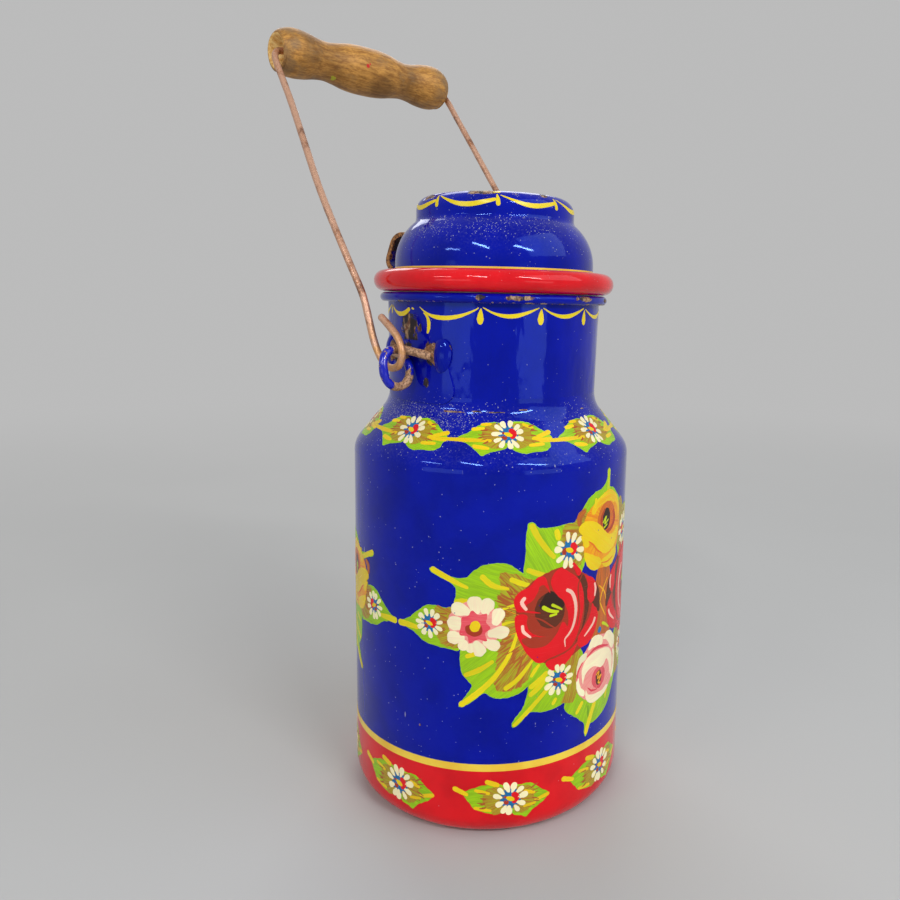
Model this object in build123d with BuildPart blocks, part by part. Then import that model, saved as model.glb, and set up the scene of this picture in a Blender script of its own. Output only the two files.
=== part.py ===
from build123d import *
from math import cos, radians, sin, tan
import os

# A painted enamelled can with a lift-off lid, two wire eyes and a bail with a turned wooden grip.
# Millimetres, +Z up, origin at the centre of the base. The eyes stand on the X axis.

# Body: straight cylinder, rounded base corner, sloping shoulder up to the foot of the neck
sheet = 1.0
body_radius = 65.0
base_corner_radius = 10.5
body_straight_top = 162.0
shoulder_radius = 10.0
shoulder_slope = 50.5

# Neck tube, a little wider at the mouth than at its foot
neck_foot_radius = 48.4
neck_mouth_radius = 49.3
neck_length = 48.4
bead_radius = 2.1
bead_reach = 3.55
bead_rise = 0.5

# Lid: dome, flat-topped crown, fat rolled rim and the collar that drops inside the mouth
seat_gap = 0.3
rim_roll_radius = 4.85
rim_overhang = 2.85
rim_sheet = 1.0
dome_inset = 4.85
dome_straight = 8.0
dome_taper = 8.4
dome_shoulder_height = 26.0
crown_step = 1.1
crown_height = 38.0
crown_edge_radius = 6.5
crown_swell = 0.6
web_grip = 2.4
collar_clearance = 1.0
collar_depth = 15.0
collar_step = 2.6

# Strap handle on the lid
strap_direction = 105.0
strap_width = 15.0
strap_thickness = 2.0
strap_stand = 13.6
strap_top_stand = 7.6
strap_top_height = 23.2
strap_low_height = 9.5
strap_top_bend = 6.5
strap_low_bend = 5.0
strap_root_depth = 4.0

# Saddle plates under the eyes
plate_thickness = 0.8
plate_width_top = 36.0
plate_width_bottom = 49.0
plate_height = 26.5
plate_corner_radius = 6.0
plate_lift = 2.0

# Wire eyes, each one wire from foot to foot
eye_wire = 3.4
eye_width = 14.5
eye_lean = 3.2
eye_gap = 0.15
eye_foot_spread = 12.5
eye_foot_drop = 1.1
eye_stub_inset = 2.6
bend_ease = 0.05
pivot_rise = 23.77

# Bail wire and its hooks, drawn upright and then leaned over
bail_wire_diameter = 3.0
bail_clearance = 0.3
hook_clearance = 2.3
bail_height = 178.0
bail_lean = 36.5
bail_bow = 1.4
hook_half_width = 6.2
hook_drop = 8.2
hook_tip_height = 17.5
hook_tip_inset = 2.0
hook_tip_bend_height = 4.0
hook_tip_bend = 10.0
hook_shank_height = 10.0
hook_neck_height = 28.0
hook_shank_bend = 12.0
hook_neck_bend = 20.0
bow_bend = 400.0
bail_shoulder_drop = 18.0
bail_shoulder_stand = 3.5
shoulder_bend = 25.0
bail_corner_radius = 5.0

# Turned grip on the bail
grip_length = 105.0
grip_middle_radius = 12.25
grip_waist_radius = 9.4
grip_bulge_radius = 11.75
grip_waist_place = 24.2
grip_bulge_place = 43.0
grip_face_radius = 8.6
grip_end_radius = 10.9
grip_end_round = 1.9
grip_clearance = 0.4
grip_mouth_radius = 4.25
grip_mouth_depth = 9.0
grip_dish_depth = 1.6

# Heights and radii that follow from the values above
slope = radians(shoulder_slope)
shoulder_run_radius = body_radius - shoulder_radius + shoulder_radius * sin(slope)
shoulder_run_height = body_straight_top + shoulder_radius * cos(slope)
neck_foot_height = shoulder_run_height + (shoulder_run_radius - neck_foot_radius) * tan(slope)
neck_top_height = neck_foot_height + neck_length
bead_center_radius = neck_mouth_radius + bead_reach - bead_radius
bead_center_height = neck_top_height + bead_rise - bead_radius
bead_top_height = bead_center_height + bead_radius
rim_reach = neck_mouth_radius + bead_reach + rim_overhang
rim_center_radius = rim_reach - rim_roll_radius
rim_center_height = bead_top_height + seat_gap + rim_roll_radius
lid_datum = rim_center_height
dome_radius = rim_center_radius - dome_inset
dome_shoulder_radius = dome_radius - dome_taper
crown_radius = dome_shoulder_radius - crown_step
web_reach = dome_inset - rim_roll_radius + web_grip
neck_inner_radius = neck_mouth_radius - sheet
collar_radius = neck_inner_radius - collar_clearance
pivot_height = neck_foot_height + pivot_rise


def neck_radius_at(height):
    """Outer radius of the neck tube at a height."""
    share = (height - neck_foot_height) / neck_length
    return neck_foot_radius + (neck_mouth_radius - neck_foot_radius) * share


with BuildPart() as body_shell:
    with BuildSketch(Plane.XZ):
        with BuildLine():
            floor_line = Line((0, 0), (body_radius - base_corner_radius, 0))
            corner_arc = TangentArc(floor_line @ 1, (body_radius, base_corner_radius), tangent=(1, 0))
            side_line = Line(corner_arc @ 1, (body_radius, body_straight_top))
            shoulder_arc = TangentArc(
                side_line @ 1, (shoulder_run_radius, shoulder_run_height), tangent=(0, 1)
            )
            Line(shoulder_arc @ 1, (neck_foot_radius, neck_foot_height))
            offset(amount=sheet, side=Side.LEFT)
        make_face()
    revolve(axis=Axis.Z)
    # The sloping wall ends in a level edge that the neck tube stands on.
    split(bisect_by=Plane.XY.offset(neck_foot_height), keep=Keep.BOTTOM)
body_shell.part.label = "body_shell"


with BuildPart() as neck_collar:
    with BuildSketch(Plane.XZ):
        with BuildLine():
            Polyline(
                (neck_foot_radius - sheet, neck_foot_height),
                (neck_foot_radius, neck_foot_height),
                (neck_mouth_radius, neck_top_height),
                (neck_mouth_radius - sheet, neck_top_height),
                close=True,
            )
        make_face()
    revolve(axis=Axis.Z)
neck_collar.part.label = "neck_collar"


with BuildPart() as neck_envelope:
    with BuildSketch(Plane.XZ):
        with BuildLine():
            Polyline(
                (0, neck_foot_height),
                (neck_foot_radius, neck_foot_height),
                (neck_mouth_radius, neck_top_height),
                (0, neck_top_height),
                close=True,
            )
        make_face()
    revolve(axis=Axis.Z)


with BuildPart() as mouth_bead:
    with BuildSketch(Plane.XZ):
        with Locations((bead_center_radius, bead_center_height)):
            Circle(bead_radius)
    revolve(axis=Axis.Z)
    add(neck_envelope.part, mode=Mode.SUBTRACT)
mouth_bead.part.label = "mouth_bead"


# The lid's own section plane has its zero at the middle of the rolled rim.
lid_section = Plane.XZ.shift_origin((0, 0, lid_datum))

with BuildPart() as lid_cover:
    with BuildSketch(lid_section):
        with BuildLine():
            web_line = Line((dome_radius + web_reach, sheet / 2), (dome_radius, sheet / 2))
            wall_line = Line(web_line @ 1, (dome_radius, dome_straight))
            dome_arc = TangentArc(
                wall_line @ 1, (dome_shoulder_radius, dome_shoulder_height), tangent=(0, 1)
            )
            # A hollow bend, tangent to the dome and to the upright wall of the crown.
            heading = dome_arc % 1
            bend_run = (dome_shoulder_radius - crown_radius) / -heading.X
            bend_end = (crown_radius, dome_shoulder_height + bend_run * heading.Y + bend_run)
            bend_arc = TangentArc(dome_arc @ 1, bend_end, tangent=heading)
            crown_line = Line(bend_arc @ 1, (crown_radius, crown_height - crown_edge_radius))
            edge_arc = TangentArc(
                crown_line @ 1, (crown_radius - crown_edge_radius, crown_height), tangent=(0, 1)
            )
            TangentArc((0, crown_height + crown_swell), edge_arc @ 1, tangent=(1, 0))
            offset(amount=sheet, side=Side.LEFT, kind=Kind.INTERSECTION)
        make_face()
    revolve(axis=Axis.Z)
lid_cover.part.label = "lid_cover"


with BuildPart() as lid_rim:
    with BuildSketch(lid_section):
        with Locations((rim_center_radius, 0)):
            Circle(rim_roll_radius)
            Circle(rim_roll_radius - rim_sheet, mode=Mode.SUBTRACT)
        # The slot that grips the edge of the cover's web.
        with Locations((dome_radius + web_reach / 2, 0)):
            Rectangle(web_reach, sheet, mode=Mode.SUBTRACT)
    revolve(axis=Axis.Z)
lid_rim.part.label = "lid_rim"


with BuildPart() as lid_collar:
    with BuildSketch(lid_section):
        collar_flare = collar_radius - dome_radius
        with BuildLine():
            Polyline(
                (dome_radius, -sheet / 2),
                (dome_radius, -collar_step),
                (collar_radius, -collar_step - collar_flare),
                (collar_radius, -collar_depth),
            )
            offset(amount=sheet, side=Side.RIGHT, kind=Kind.INTERSECTION)
        make_face()
    revolve(axis=Axis.Z)
lid_collar.part.label = "lid_collar"


# The filled outline of the lid, which the strap handle is trimmed against.
with BuildPart() as lid_envelope:
    with BuildSketch(lid_section):
        with BuildLine():
            core_line = Line((0, 0), (dome_radius, 0))
            core_wall = Line(core_line @ 1, (dome_radius, dome_straight))
            core_arc = TangentArc(
                core_wall @ 1, (dome_shoulder_radius, dome_shoulder_height), tangent=(0, 1)
            )
            Polyline(core_arc @ 1, (0, dome_shoulder_height), (0, 0))
        make_face()
        with Locations((rim_center_radius, 0)):
            Circle(rim_roll_radius)
    revolve(axis=Axis.Z)


strap_side = (cos(radians(strap_direction)), sin(radians(strap_direction)), 0)
strap_plane = Plane(
    origin=(0, 0, lid_datum),
    x_dir=strap_side,
    z_dir=(strap_side[1], -strap_side[0], 0),
)

with BuildPart() as lid_handle:
    with BuildSketch(strap_plane):
        with BuildLine():
            FilletPolyline(
                (dome_shoulder_radius, strap_top_height - strap_thickness / 2),
                (dome_radius + strap_top_stand, strap_top_height),
                (dome_radius + strap_stand - strap_thickness / 2, strap_low_height),
                (rim_center_radius, rim_roll_radius - strap_root_depth),
                radius=[strap_top_bend, strap_low_bend],
            )
            offset(amount=strap_thickness / 2, side=Side.BOTH, kind=Kind.INTERSECTION)
        make_face()
    extrude(amount=strap_width / 2, both=True)
    add(lid_envelope.part, mode=Mode.SUBTRACT)
lid_handle.part.label = "lid_handle"


with BuildPart() as plate_envelope:
    with BuildSketch(Plane.XZ):
        with BuildLine():
            Polyline(
                (0, neck_foot_height),
                (neck_foot_radius + plate_thickness, neck_foot_height),
                (neck_mouth_radius + plate_thickness, neck_top_height),
                (0, neck_top_height),
                close=True,
            )
        make_face()
    revolve(axis=Axis.Z)

plate_bottom = neck_foot_height + plate_lift
plate_top = plate_bottom + plate_height

with BuildPart() as ear_plate_far:
    with BuildSketch(Plane.YZ):
        with BuildLine():
            Polyline(
                (-plate_width_bottom / 2, plate_bottom),
                (plate_width_bottom / 2, plate_bottom),
                (plate_width_top / 2, plate_top),
                (-plate_width_top / 2, plate_top),
                close=True,
            )
        make_face()
        fillet(vertices(), radius=plate_corner_radius)
    extrude(amount=body_radius)
    add(plate_envelope.part, mode=Mode.INTERSECT)
    add(neck_envelope.part, mode=Mode.SUBTRACT)
ear_plate_far.part.label = "ear_plate_far"

with BuildPart() as ear_plate_near:
    mirror(ear_plate_far.part, about=Plane.YZ)
ear_plate_near.part.label = "ear_plate_near"


eye_inner_reach = neck_radius_at(pivot_height) + plate_thickness + eye_wire / 2 + eye_gap
eye_outer_reach = eye_inner_reach + eye_width
eye_bottom = pivot_height - eye_width
eye_bend = eye_width / 2 - bend_ease

with BuildPart() as ear_ring_far:
    with BuildLine() as eye_path:
        FilletPolyline(
            (neck_foot_radius, -eye_foot_spread, pivot_height - eye_foot_drop),
            (eye_inner_reach + eye_stub_inset, 0, pivot_height),
            (eye_outer_reach, 0, pivot_height),
            (eye_outer_reach, -eye_lean, eye_bottom),
            (eye_inner_reach, -eye_lean, eye_bottom),
            (eye_inner_reach, 0, pivot_height - eye_wire),
            (eye_inner_reach, eye_foot_spread / 2, pivot_height - eye_foot_drop * 2),
            (neck_foot_radius, eye_foot_spread, pivot_height - eye_foot_drop),
            radius=[eye_wire, eye_bend, eye_bend, eye_bend, eye_wire, eye_wire],
        )
    with BuildSketch(Plane(origin=eye_path.line @ 0, z_dir=eye_path.line % 0)):
        Circle(eye_wire / 2)
    sweep()
    # Both feet end flush on the plate.
    add(plate_envelope.part, mode=Mode.SUBTRACT)
ear_ring_far.part.label = "ear_ring_far"

with BuildPart() as ear_ring_near:
    mirror(ear_ring_far.part, about=Plane.YZ)
ear_ring_near.part.label = "ear_ring_near"


bail_wire_radius = bail_wire_diameter / 2
bail_corner_reach = grip_length / 2 + bail_wire_radius
bail_shoulder_reach = bail_corner_reach + bail_shoulder_stand
# The hooks clear both the edge of the lid and the inner run of each eye.
pivot_reach = max(
    rim_reach + bail_clearance + bail_wire_radius,
    eye_inner_reach + eye_wire / 2 + hook_clearance + bail_wire_radius,
)


def bail_point(along, across, up):
    """A point of the leaned bail: along the pivot axis, across the bail's plane and up its legs."""
    lean = radians(bail_lean)
    return (
        along,
        across * cos(lean) + up * sin(lean),
        pivot_height - across * sin(lean) + up * cos(lean),
    )


def bail_side(side):
    """Corner points of one leg, from the tip of its hook to its corner at the grip."""
    reach = side * pivot_reach
    bow_reach = (pivot_reach + bail_shoulder_reach) / 2 + bail_bow
    shoulder_up = bail_height - bail_shoulder_drop
    return [
        bail_point(reach, -hook_tip_inset, hook_tip_height),
        bail_point(reach, -hook_half_width, hook_tip_bend_height),
        bail_point(reach, -hook_half_width, -hook_drop),
        bail_point(reach, hook_half_width, -hook_drop),
        bail_point(reach, hook_half_width, hook_shank_height),
        bail_point(reach, 0, hook_neck_height),
        bail_point(side * bow_reach, 0, bail_height / 2),
        bail_point(side * bail_shoulder_reach, 0, shoulder_up),
        bail_point(side * bail_corner_reach, 0, bail_height),
    ]


hook_bend = hook_half_width - bend_ease
leg_bends = [
    hook_tip_bend, hook_bend, hook_bend, hook_shank_bend, hook_neck_bend,
    bow_bend, shoulder_bend, bail_corner_radius,
]

with BuildPart() as bail_wire:
    with BuildLine() as bail_path:
        FilletPolyline(
            bail_side(-1) + bail_side(1)[::-1],
            radius=leg_bends + leg_bends[::-1],
        )
    with BuildSketch(Plane(origin=bail_path.line @ 0, z_dir=bail_path.line % 0)):
        Circle(bail_wire_radius)
    sweep()
bail_wire.part.label = "bail_wire"


def half_swells(start, finish):
    """Two arcs between two points of the grip's outline, level at both ends and meeting halfway."""
    middle = ((start[0] + finish[0]) / 2, (start[1] + finish[1]) / 2)
    TangentArc(start, middle, tangent=(1, 0))
    TangentArc(finish, middle, tangent=(-1, 0))


grip_center = bail_point(0, 0, bail_height)
grip_up = Vector(*bail_point(0, 0, 1)) - Vector(*bail_point(0, 0, 0))
grip_plane = Plane(origin=grip_center, x_dir=(1, 0, 0), z_dir=Vector(1, 0, 0).cross(grip_up))
grip_bore_radius = bail_wire_radius + grip_clearance
grip_end = grip_length / 2

with BuildPart() as grip:
    with BuildSketch(grip_plane):
        with BuildLine():
            Line((0, grip_bore_radius), (0, grip_middle_radius))
            half_swells((0, grip_middle_radius), (grip_waist_place, grip_waist_radius))
            half_swells((grip_waist_place, grip_waist_radius), (grip_bulge_place, grip_bulge_radius))
            end_arc = TangentArc(
                (grip_bulge_place, grip_bulge_radius),
                (grip_end - grip_end_round, grip_end_radius),
                tangent=(1, 0),
            )
            round_arc = TangentArc(end_arc @ 1, (grip_end, grip_face_radius), tangent=end_arc % 1)
            Polyline(
                round_arc @ 1,
                (grip_end - grip_dish_depth, grip_mouth_radius),
                (grip_end - grip_mouth_depth, grip_bore_radius),
                (0, grip_bore_radius),
            )
        make_face()
    revolve(axis=Axis(grip_center, (1, 0, 0)))
    mirror(about=Plane.YZ)
grip.part.label = "grip"


os.makedirs("parts", exist_ok=True)
pieces = [
    body_shell, neck_collar, mouth_bead, ear_plate_near, ear_plate_far, ear_ring_near, ear_ring_far,
    bail_wire, grip, lid_cover, lid_rim, lid_collar, lid_handle,
]
for piece in pieces:
    export_step(piece.part, f"parts/{piece.part.label}.step")
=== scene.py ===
"""Looks of a painted enamel can with a lift-off lid and a wire bail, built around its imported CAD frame."""

import logging
import math
from dataclasses import dataclass, field, replace
from enum import Enum
from functools import reduce
from operator import or_
from typing import Sequence

import bpy
import numpy as np
from mathutils import Matrix, Vector
from mathutils.geometry import delaunay_2d_cdt


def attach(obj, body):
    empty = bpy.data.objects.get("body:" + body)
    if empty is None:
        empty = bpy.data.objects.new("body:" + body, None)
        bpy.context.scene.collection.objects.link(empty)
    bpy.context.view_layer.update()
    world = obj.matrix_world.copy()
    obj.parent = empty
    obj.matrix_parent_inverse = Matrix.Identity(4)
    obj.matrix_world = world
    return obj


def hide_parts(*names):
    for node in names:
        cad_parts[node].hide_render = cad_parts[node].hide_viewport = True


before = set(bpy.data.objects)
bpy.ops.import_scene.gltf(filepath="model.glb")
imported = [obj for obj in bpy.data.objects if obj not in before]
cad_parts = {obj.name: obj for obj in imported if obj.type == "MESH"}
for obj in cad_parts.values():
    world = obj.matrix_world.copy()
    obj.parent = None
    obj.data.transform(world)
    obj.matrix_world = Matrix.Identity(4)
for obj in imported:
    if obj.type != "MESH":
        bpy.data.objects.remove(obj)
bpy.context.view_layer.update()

LOG = logging.getLogger("painted_can")
MM = 0.001
FULL_TURN = 2 * math.pi
Colour = tuple[float, float, float]
Place = tuple[float, float, float]
Point = tuple[float, float]
Spot = tuple[float, float, float, float]
Faces = list[tuple[int, ...]]


class Body(str, Enum):
    """The moving bodies of the frame."""

    CAN = "can"
    BAIL = "bail"
    GRIP = "grip"
    LID = "lid"


class Slot(str, Enum):
    """Material slot names."""

    BLUE = "blue_enamel"
    RED = "red_enamel"
    PAINTED_WIRE = "painted_wire"
    RUSTY_WIRE = "rusty_wire"
    WOOD = "turned_wood"
    STRAP = "worn_strap"


def linear(red: float, green: float, blue: float) -> Colour:
    """Turns a colour as it is seen into the linear values that shaders take.

    Args:
        red, green, blue: The seen colour, 0 to 255.

    Returns:
        The linear colour, 0 to 1.
    """
    return tuple(
        c / 255 / 12.92 if c <= 10.3 else ((c / 255 + 0.055) / 1.055) ** 2.4 for c in (red, green, blue))


def linked(name: str, data: bpy.types.ID) -> bpy.types.Object:
    """Makes an object and links it to the scene.

    Args:
        name: The object's name.
        data: Its mesh, lamp or camera.

    Returns:
        The object.
    """
    piece = bpy.data.objects.new(name, data)
    bpy.context.scene.collection.objects.link(piece)
    return piece


# Node writing


class Value:
    """A node's output that takes part in sums and masks, each of which adds a node to its tree."""

    def __init__(self, writer: "NodeWriter", socket: bpy.types.NodeSocket) -> None:
        """Holds the output and the writer of its tree."""
        self.writer, self.socket = writer, socket

    def math(self, operation: str, *others: object) -> "Value":
        """Adds a math node with this as its first number."""
        return self.writer.out("ShaderNodeMath", self, *others, operation=operation)

    def vector(self, operation: str, *others: object) -> "Value":
        """Adds a vector math node with this as its first vector; lengths and products come as numbers."""
        result = "Value" if operation in ("DOT_PRODUCT", "DISTANCE", "LENGTH") else "Vector"
        return self.writer.out("ShaderNodeVectorMath", self, *others, output=result, operation=operation)

    def __add__(self, other: object) -> "Value":
        """Adds another."""
        return self.math("ADD", other)

    def __sub__(self, other: object) -> "Value":
        """Takes another away."""
        return self.math("SUBTRACT", other)

    def __rsub__(self, other: float) -> "Value":
        """Takes this away from a number."""
        return self.writer.out("ShaderNodeMath", other, self, operation="SUBTRACT")

    def __mul__(self, other: object) -> "Value":
        """Multiplies by another; of two masks, gives where both are."""
        return self.math("MULTIPLY", other)

    def __truediv__(self, other: object) -> "Value":
        """Divides by another."""
        return self.math("DIVIDE", other)

    def __or__(self, other: object) -> "Value":
        """Gives the higher of two; of two masks, where either is."""
        return self.math("MAXIMUM", other)

    def __abs__(self) -> "Value":
        """Drops the sign."""
        return self.math("ABSOLUTE")

    def step(self, low: float, high: float) -> "Value":
        """Gives a soft 0 to 1 step between two limits, falling where low is above high."""
        return self.writer.out(
            "ShaderNodeMapRange", self, low, high, 0.0, 1.0, interpolation_type="SMOOTHSTEP")

    def near(self, middle: float, reach: float) -> "Value":
        """Masks where this lies near a middle, fading out over a reach."""
        return abs(self - middle).step(reach, 0.0)


class NodeWriter:
    """Adds nodes to a tree and joins them in one call each."""

    def __init__(self, tree: bpy.types.NodeTree) -> None:
        """Starts on a shader or geometry node tree, emptied."""
        self.tree = tree
        self.tree.nodes.clear()

    def add(self, kind: str, *inputs: object, **settings: object) -> bpy.types.Node:
        """Adds a node, sets its properties and feeds its inputs.

        Args:
            kind: The node's type name.
            inputs: A number, tuple or Value for each input in turn; None leaves one as it is.
            settings: The node's own properties, in small letters, and inputs by name, with a capital.

        Returns:
            The new node.
        """
        node = self.tree.nodes.new(kind)
        named = {name.replace("_", " "): value for name, value in settings.items() if name[0].isupper()}
        for name, value in settings.items():
            if name[0].islower():
                setattr(node, name, value)
        for place, value in (*enumerate(inputs), *named.items()):
            self.feed(node.inputs[place], value)
        return node

    def out(self, kind: str, *inputs: object, output: int | str = 0, **settings: object) -> Value:
        """Adds a node and gives one of its outputs, the first if none is chosen."""
        return Value(self, self.add(kind, *inputs, **settings).outputs[output])

    def outs(self, kind: str, *inputs: object, **settings: object) -> dict[str, Value]:
        """Adds a node and gives its outputs by name."""
        return {socket.name: Value(self, socket) for socket in self.add(kind, *inputs, **settings).outputs}

    def feed(self, socket: bpy.types.NodeSocket, value: object) -> None:
        """Links a Value into an input, or sets the input's own value.

        Args:
            socket: The input.
            value: What it takes; None leaves it as it is.
        """
        if isinstance(value, Value):
            self.tree.links.new(value.socket, socket)
        elif value is not None:
            socket.default_value = (*value, 1.0) if socket.type == "RGBA" else value


class Surface(NodeWriter):
    """The node material of one finish, written around one Principled shader."""

    def __init__(self, name: str, **sockets: object) -> None:
        """Starts a material with its shader and output.

        Args:
            name: The material's name.
            sockets: Shader inputs that are the same all over, with underscores for spaces.
        """
        self.material = bpy.data.materials.new(name)
        self.material.use_nodes = True
        super().__init__(self.material.node_tree)
        self.shader = self.add("ShaderNodeBsdfPrincipled", **sockets)
        self.output = self.add("ShaderNodeOutputMaterial", Value(self, self.shader.outputs[0]))
        where = self.outs("ShaderNodeTexCoord")
        self.place, self.normal = where["Object"], where["Normal"]
        self.x, self.y, self.z = self.outs("ShaderNodeSeparateXYZ", self.place).values()

    def scaled(self, x: float, y: float, z: float, vector: Value | None = None) -> Value:
        """Stretches coordinates, the object's own if none are given."""
        return self.out("ShaderNodeMapping", vector or self.place, None, None, (x, y, z))

    def noise(
            self, scale: float, detail: float = 2.0, rough: float = 0.5,
            vector: Value | None = None) -> Value:
        """Adds noise.

        Args:
            scale: Waves in each metre.
            detail: Octaves.
            rough: How much the fine octaves count.
            vector: The coordinates, or None for the object's own.

        Returns:
            The noise's value, around 0.5.
        """
        return self.out(
            "ShaderNodeTexNoise", Vector=vector or self.place, Scale=scale, Detail=detail, Roughness=rough)

    def specks(self, scale: float, size: float, chance: object = 1.0, vector: Value | None = None) -> Value:
        """Adds scattered round specks of uneven size.

        Args:
            scale: Cells in each metre.
            size: A speck's share of its cell.
            chance: The share of the cells that hold one.
            vector: The coordinates, or None for the object's own.

        Returns:
            1 inside a speck and 0 outside.
        """
        cell = self.outs("ShaderNodeTexVoronoi", Vector=vector or self.place, Scale=scale)
        draw = self.outs("ShaderNodeSeparateColor", cell["Color"])
        away = cell["Distance"] / (draw["Green"] + 0.5)
        return away.step(size, size * 0.6) * draw["Red"].math("LESS_THAN", chance)

    def mix(self, share: object, first: object, second: object) -> Value:
        """Mixes two colours by a share of the second."""
        return self.out("ShaderNodeMix", share, *[None] * 5, first, second, output=2, data_type="RGBA")

    def blend(self, share: object, first: object, second: object) -> Value:
        """Mixes two numbers by a share of the second."""
        return self.out("ShaderNodeMix", share, None, first, second, data_type="FLOAT")

    def inside(self, middle: Place) -> Value:
        """Masks the inside wall of a shell round a middle in metres."""
        return self.normal.vector("DOT_PRODUCT", self.place.vector("SUBTRACT", middle)).math("LESS_THAN", 0.0)

    def spots(self, *spots: Spot) -> Value:
        """Masks torn round spots.

        Args:
            spots: For each, its middle and its radius in millimetres.

        Returns:
            1 inside a spot and 0 outside.
        """
        torn = self.noise(900.0)
        masks = []
        for *centre, radius in spots:
            away = self.place.vector("DISTANCE", tuple(c * MM for c in centre))
            masks.append((away / (radius * MM) + torn).step(1.56, 1.44))
        return reduce(or_, masks)

    def rubbed(self, rubs: Sequence["Rub"]) -> list[Value]:
        """Masks rubbed spots with torn edges.

        Args:
            rubs: The spots.

        Returns:
            A mask for each.
        """
        azimuth = self.y.math("ARCTAN2", self.x) * math.degrees(1)
        edge = self.noise(330.0, 5.0, 0.75) * 2.2 - 0.3
        masks = []
        for rub in rubs:
            around = (azimuth - rub.azimuth).math("WRAP", 180.0, -180.0) / rub.reach
            up = (self.z - rub.height * MM) / (rub.tall * MM)
            masks.append((edge - (around * around + up * up).math("SQRT")).step(-0.04, 0.06))
        return masks

    def chipped(self, rings: Sequence["Chips"]) -> list[Value]:
        """Masks rings of chipped enamel.

        Args:
            rings: The rings.

        Returns:
            A mask for each.
        """
        flakes = (self.noise(420.0, 4.0, 0.65) + self.noise(75.0)) * 0.5
        bands = [(self.z.near(ring.height * MM, ring.reach * MM), ring.amount) for ring in rings]
        return [(flakes + band * amount).step(0.73, 0.76) * band.step(0.02, 0.2) for band, amount in bands]

    def finish(self, colour: Value, roughness: Value, *relief: tuple[Value, float]) -> bpy.types.Material:
        """Sets what varies over the surface.

        Args:
            colour: The base colour.
            roughness: The roughness.
            relief: A height of 0 to 1 and its depth in millimetres, for each layer.

        Returns:
            The material.
        """
        normal = None
        for height, depth in relief:
            deep = depth * MM
            normal = self.out("ShaderNodeBump", Strength=1.0, Distance=deep, Height=height, Normal=normal)
        for name, value in (("Base Color", colour), ("Roughness", roughness), ("Normal", normal)):
            self.feed(self.shader.inputs[name], value)
        return self.material


# Finishes

ROYAL_BLUE = linear(3, 12, 156)
DEEP_BLUE = linear(2, 7, 138)
BLUE_GLINT = (0.22, 0.42, 1.0)
RED_GLINT = (1.0, 0.62, 0.62)
BRIGHT_RED = linear(226, 14, 26)
DEEP_RED = linear(206, 8, 22)
INSIDE_WHITE = linear(222, 220, 208)
RUST = linear(116, 72, 38)
DARK_IRON = linear(44, 32, 20)
TAN_METAL = linear(182, 152, 112)
DUST = linear(176, 176, 184)
NICK_SPECKS = ((260.0, 0.055, 0.1), (420.0, 0.075, 0.1))


@dataclass(frozen=True)
class Chips:
    """A ring of chipped enamel at one height of a turned wall."""

    height: float
    reach: float
    amount: float


@dataclass(frozen=True)
class Rub:
    """A spot worn to the metal: azimuth and reach in degrees, height and half height in millimetres."""

    azimuth: float
    height: float
    reach: float
    tall: float


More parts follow.
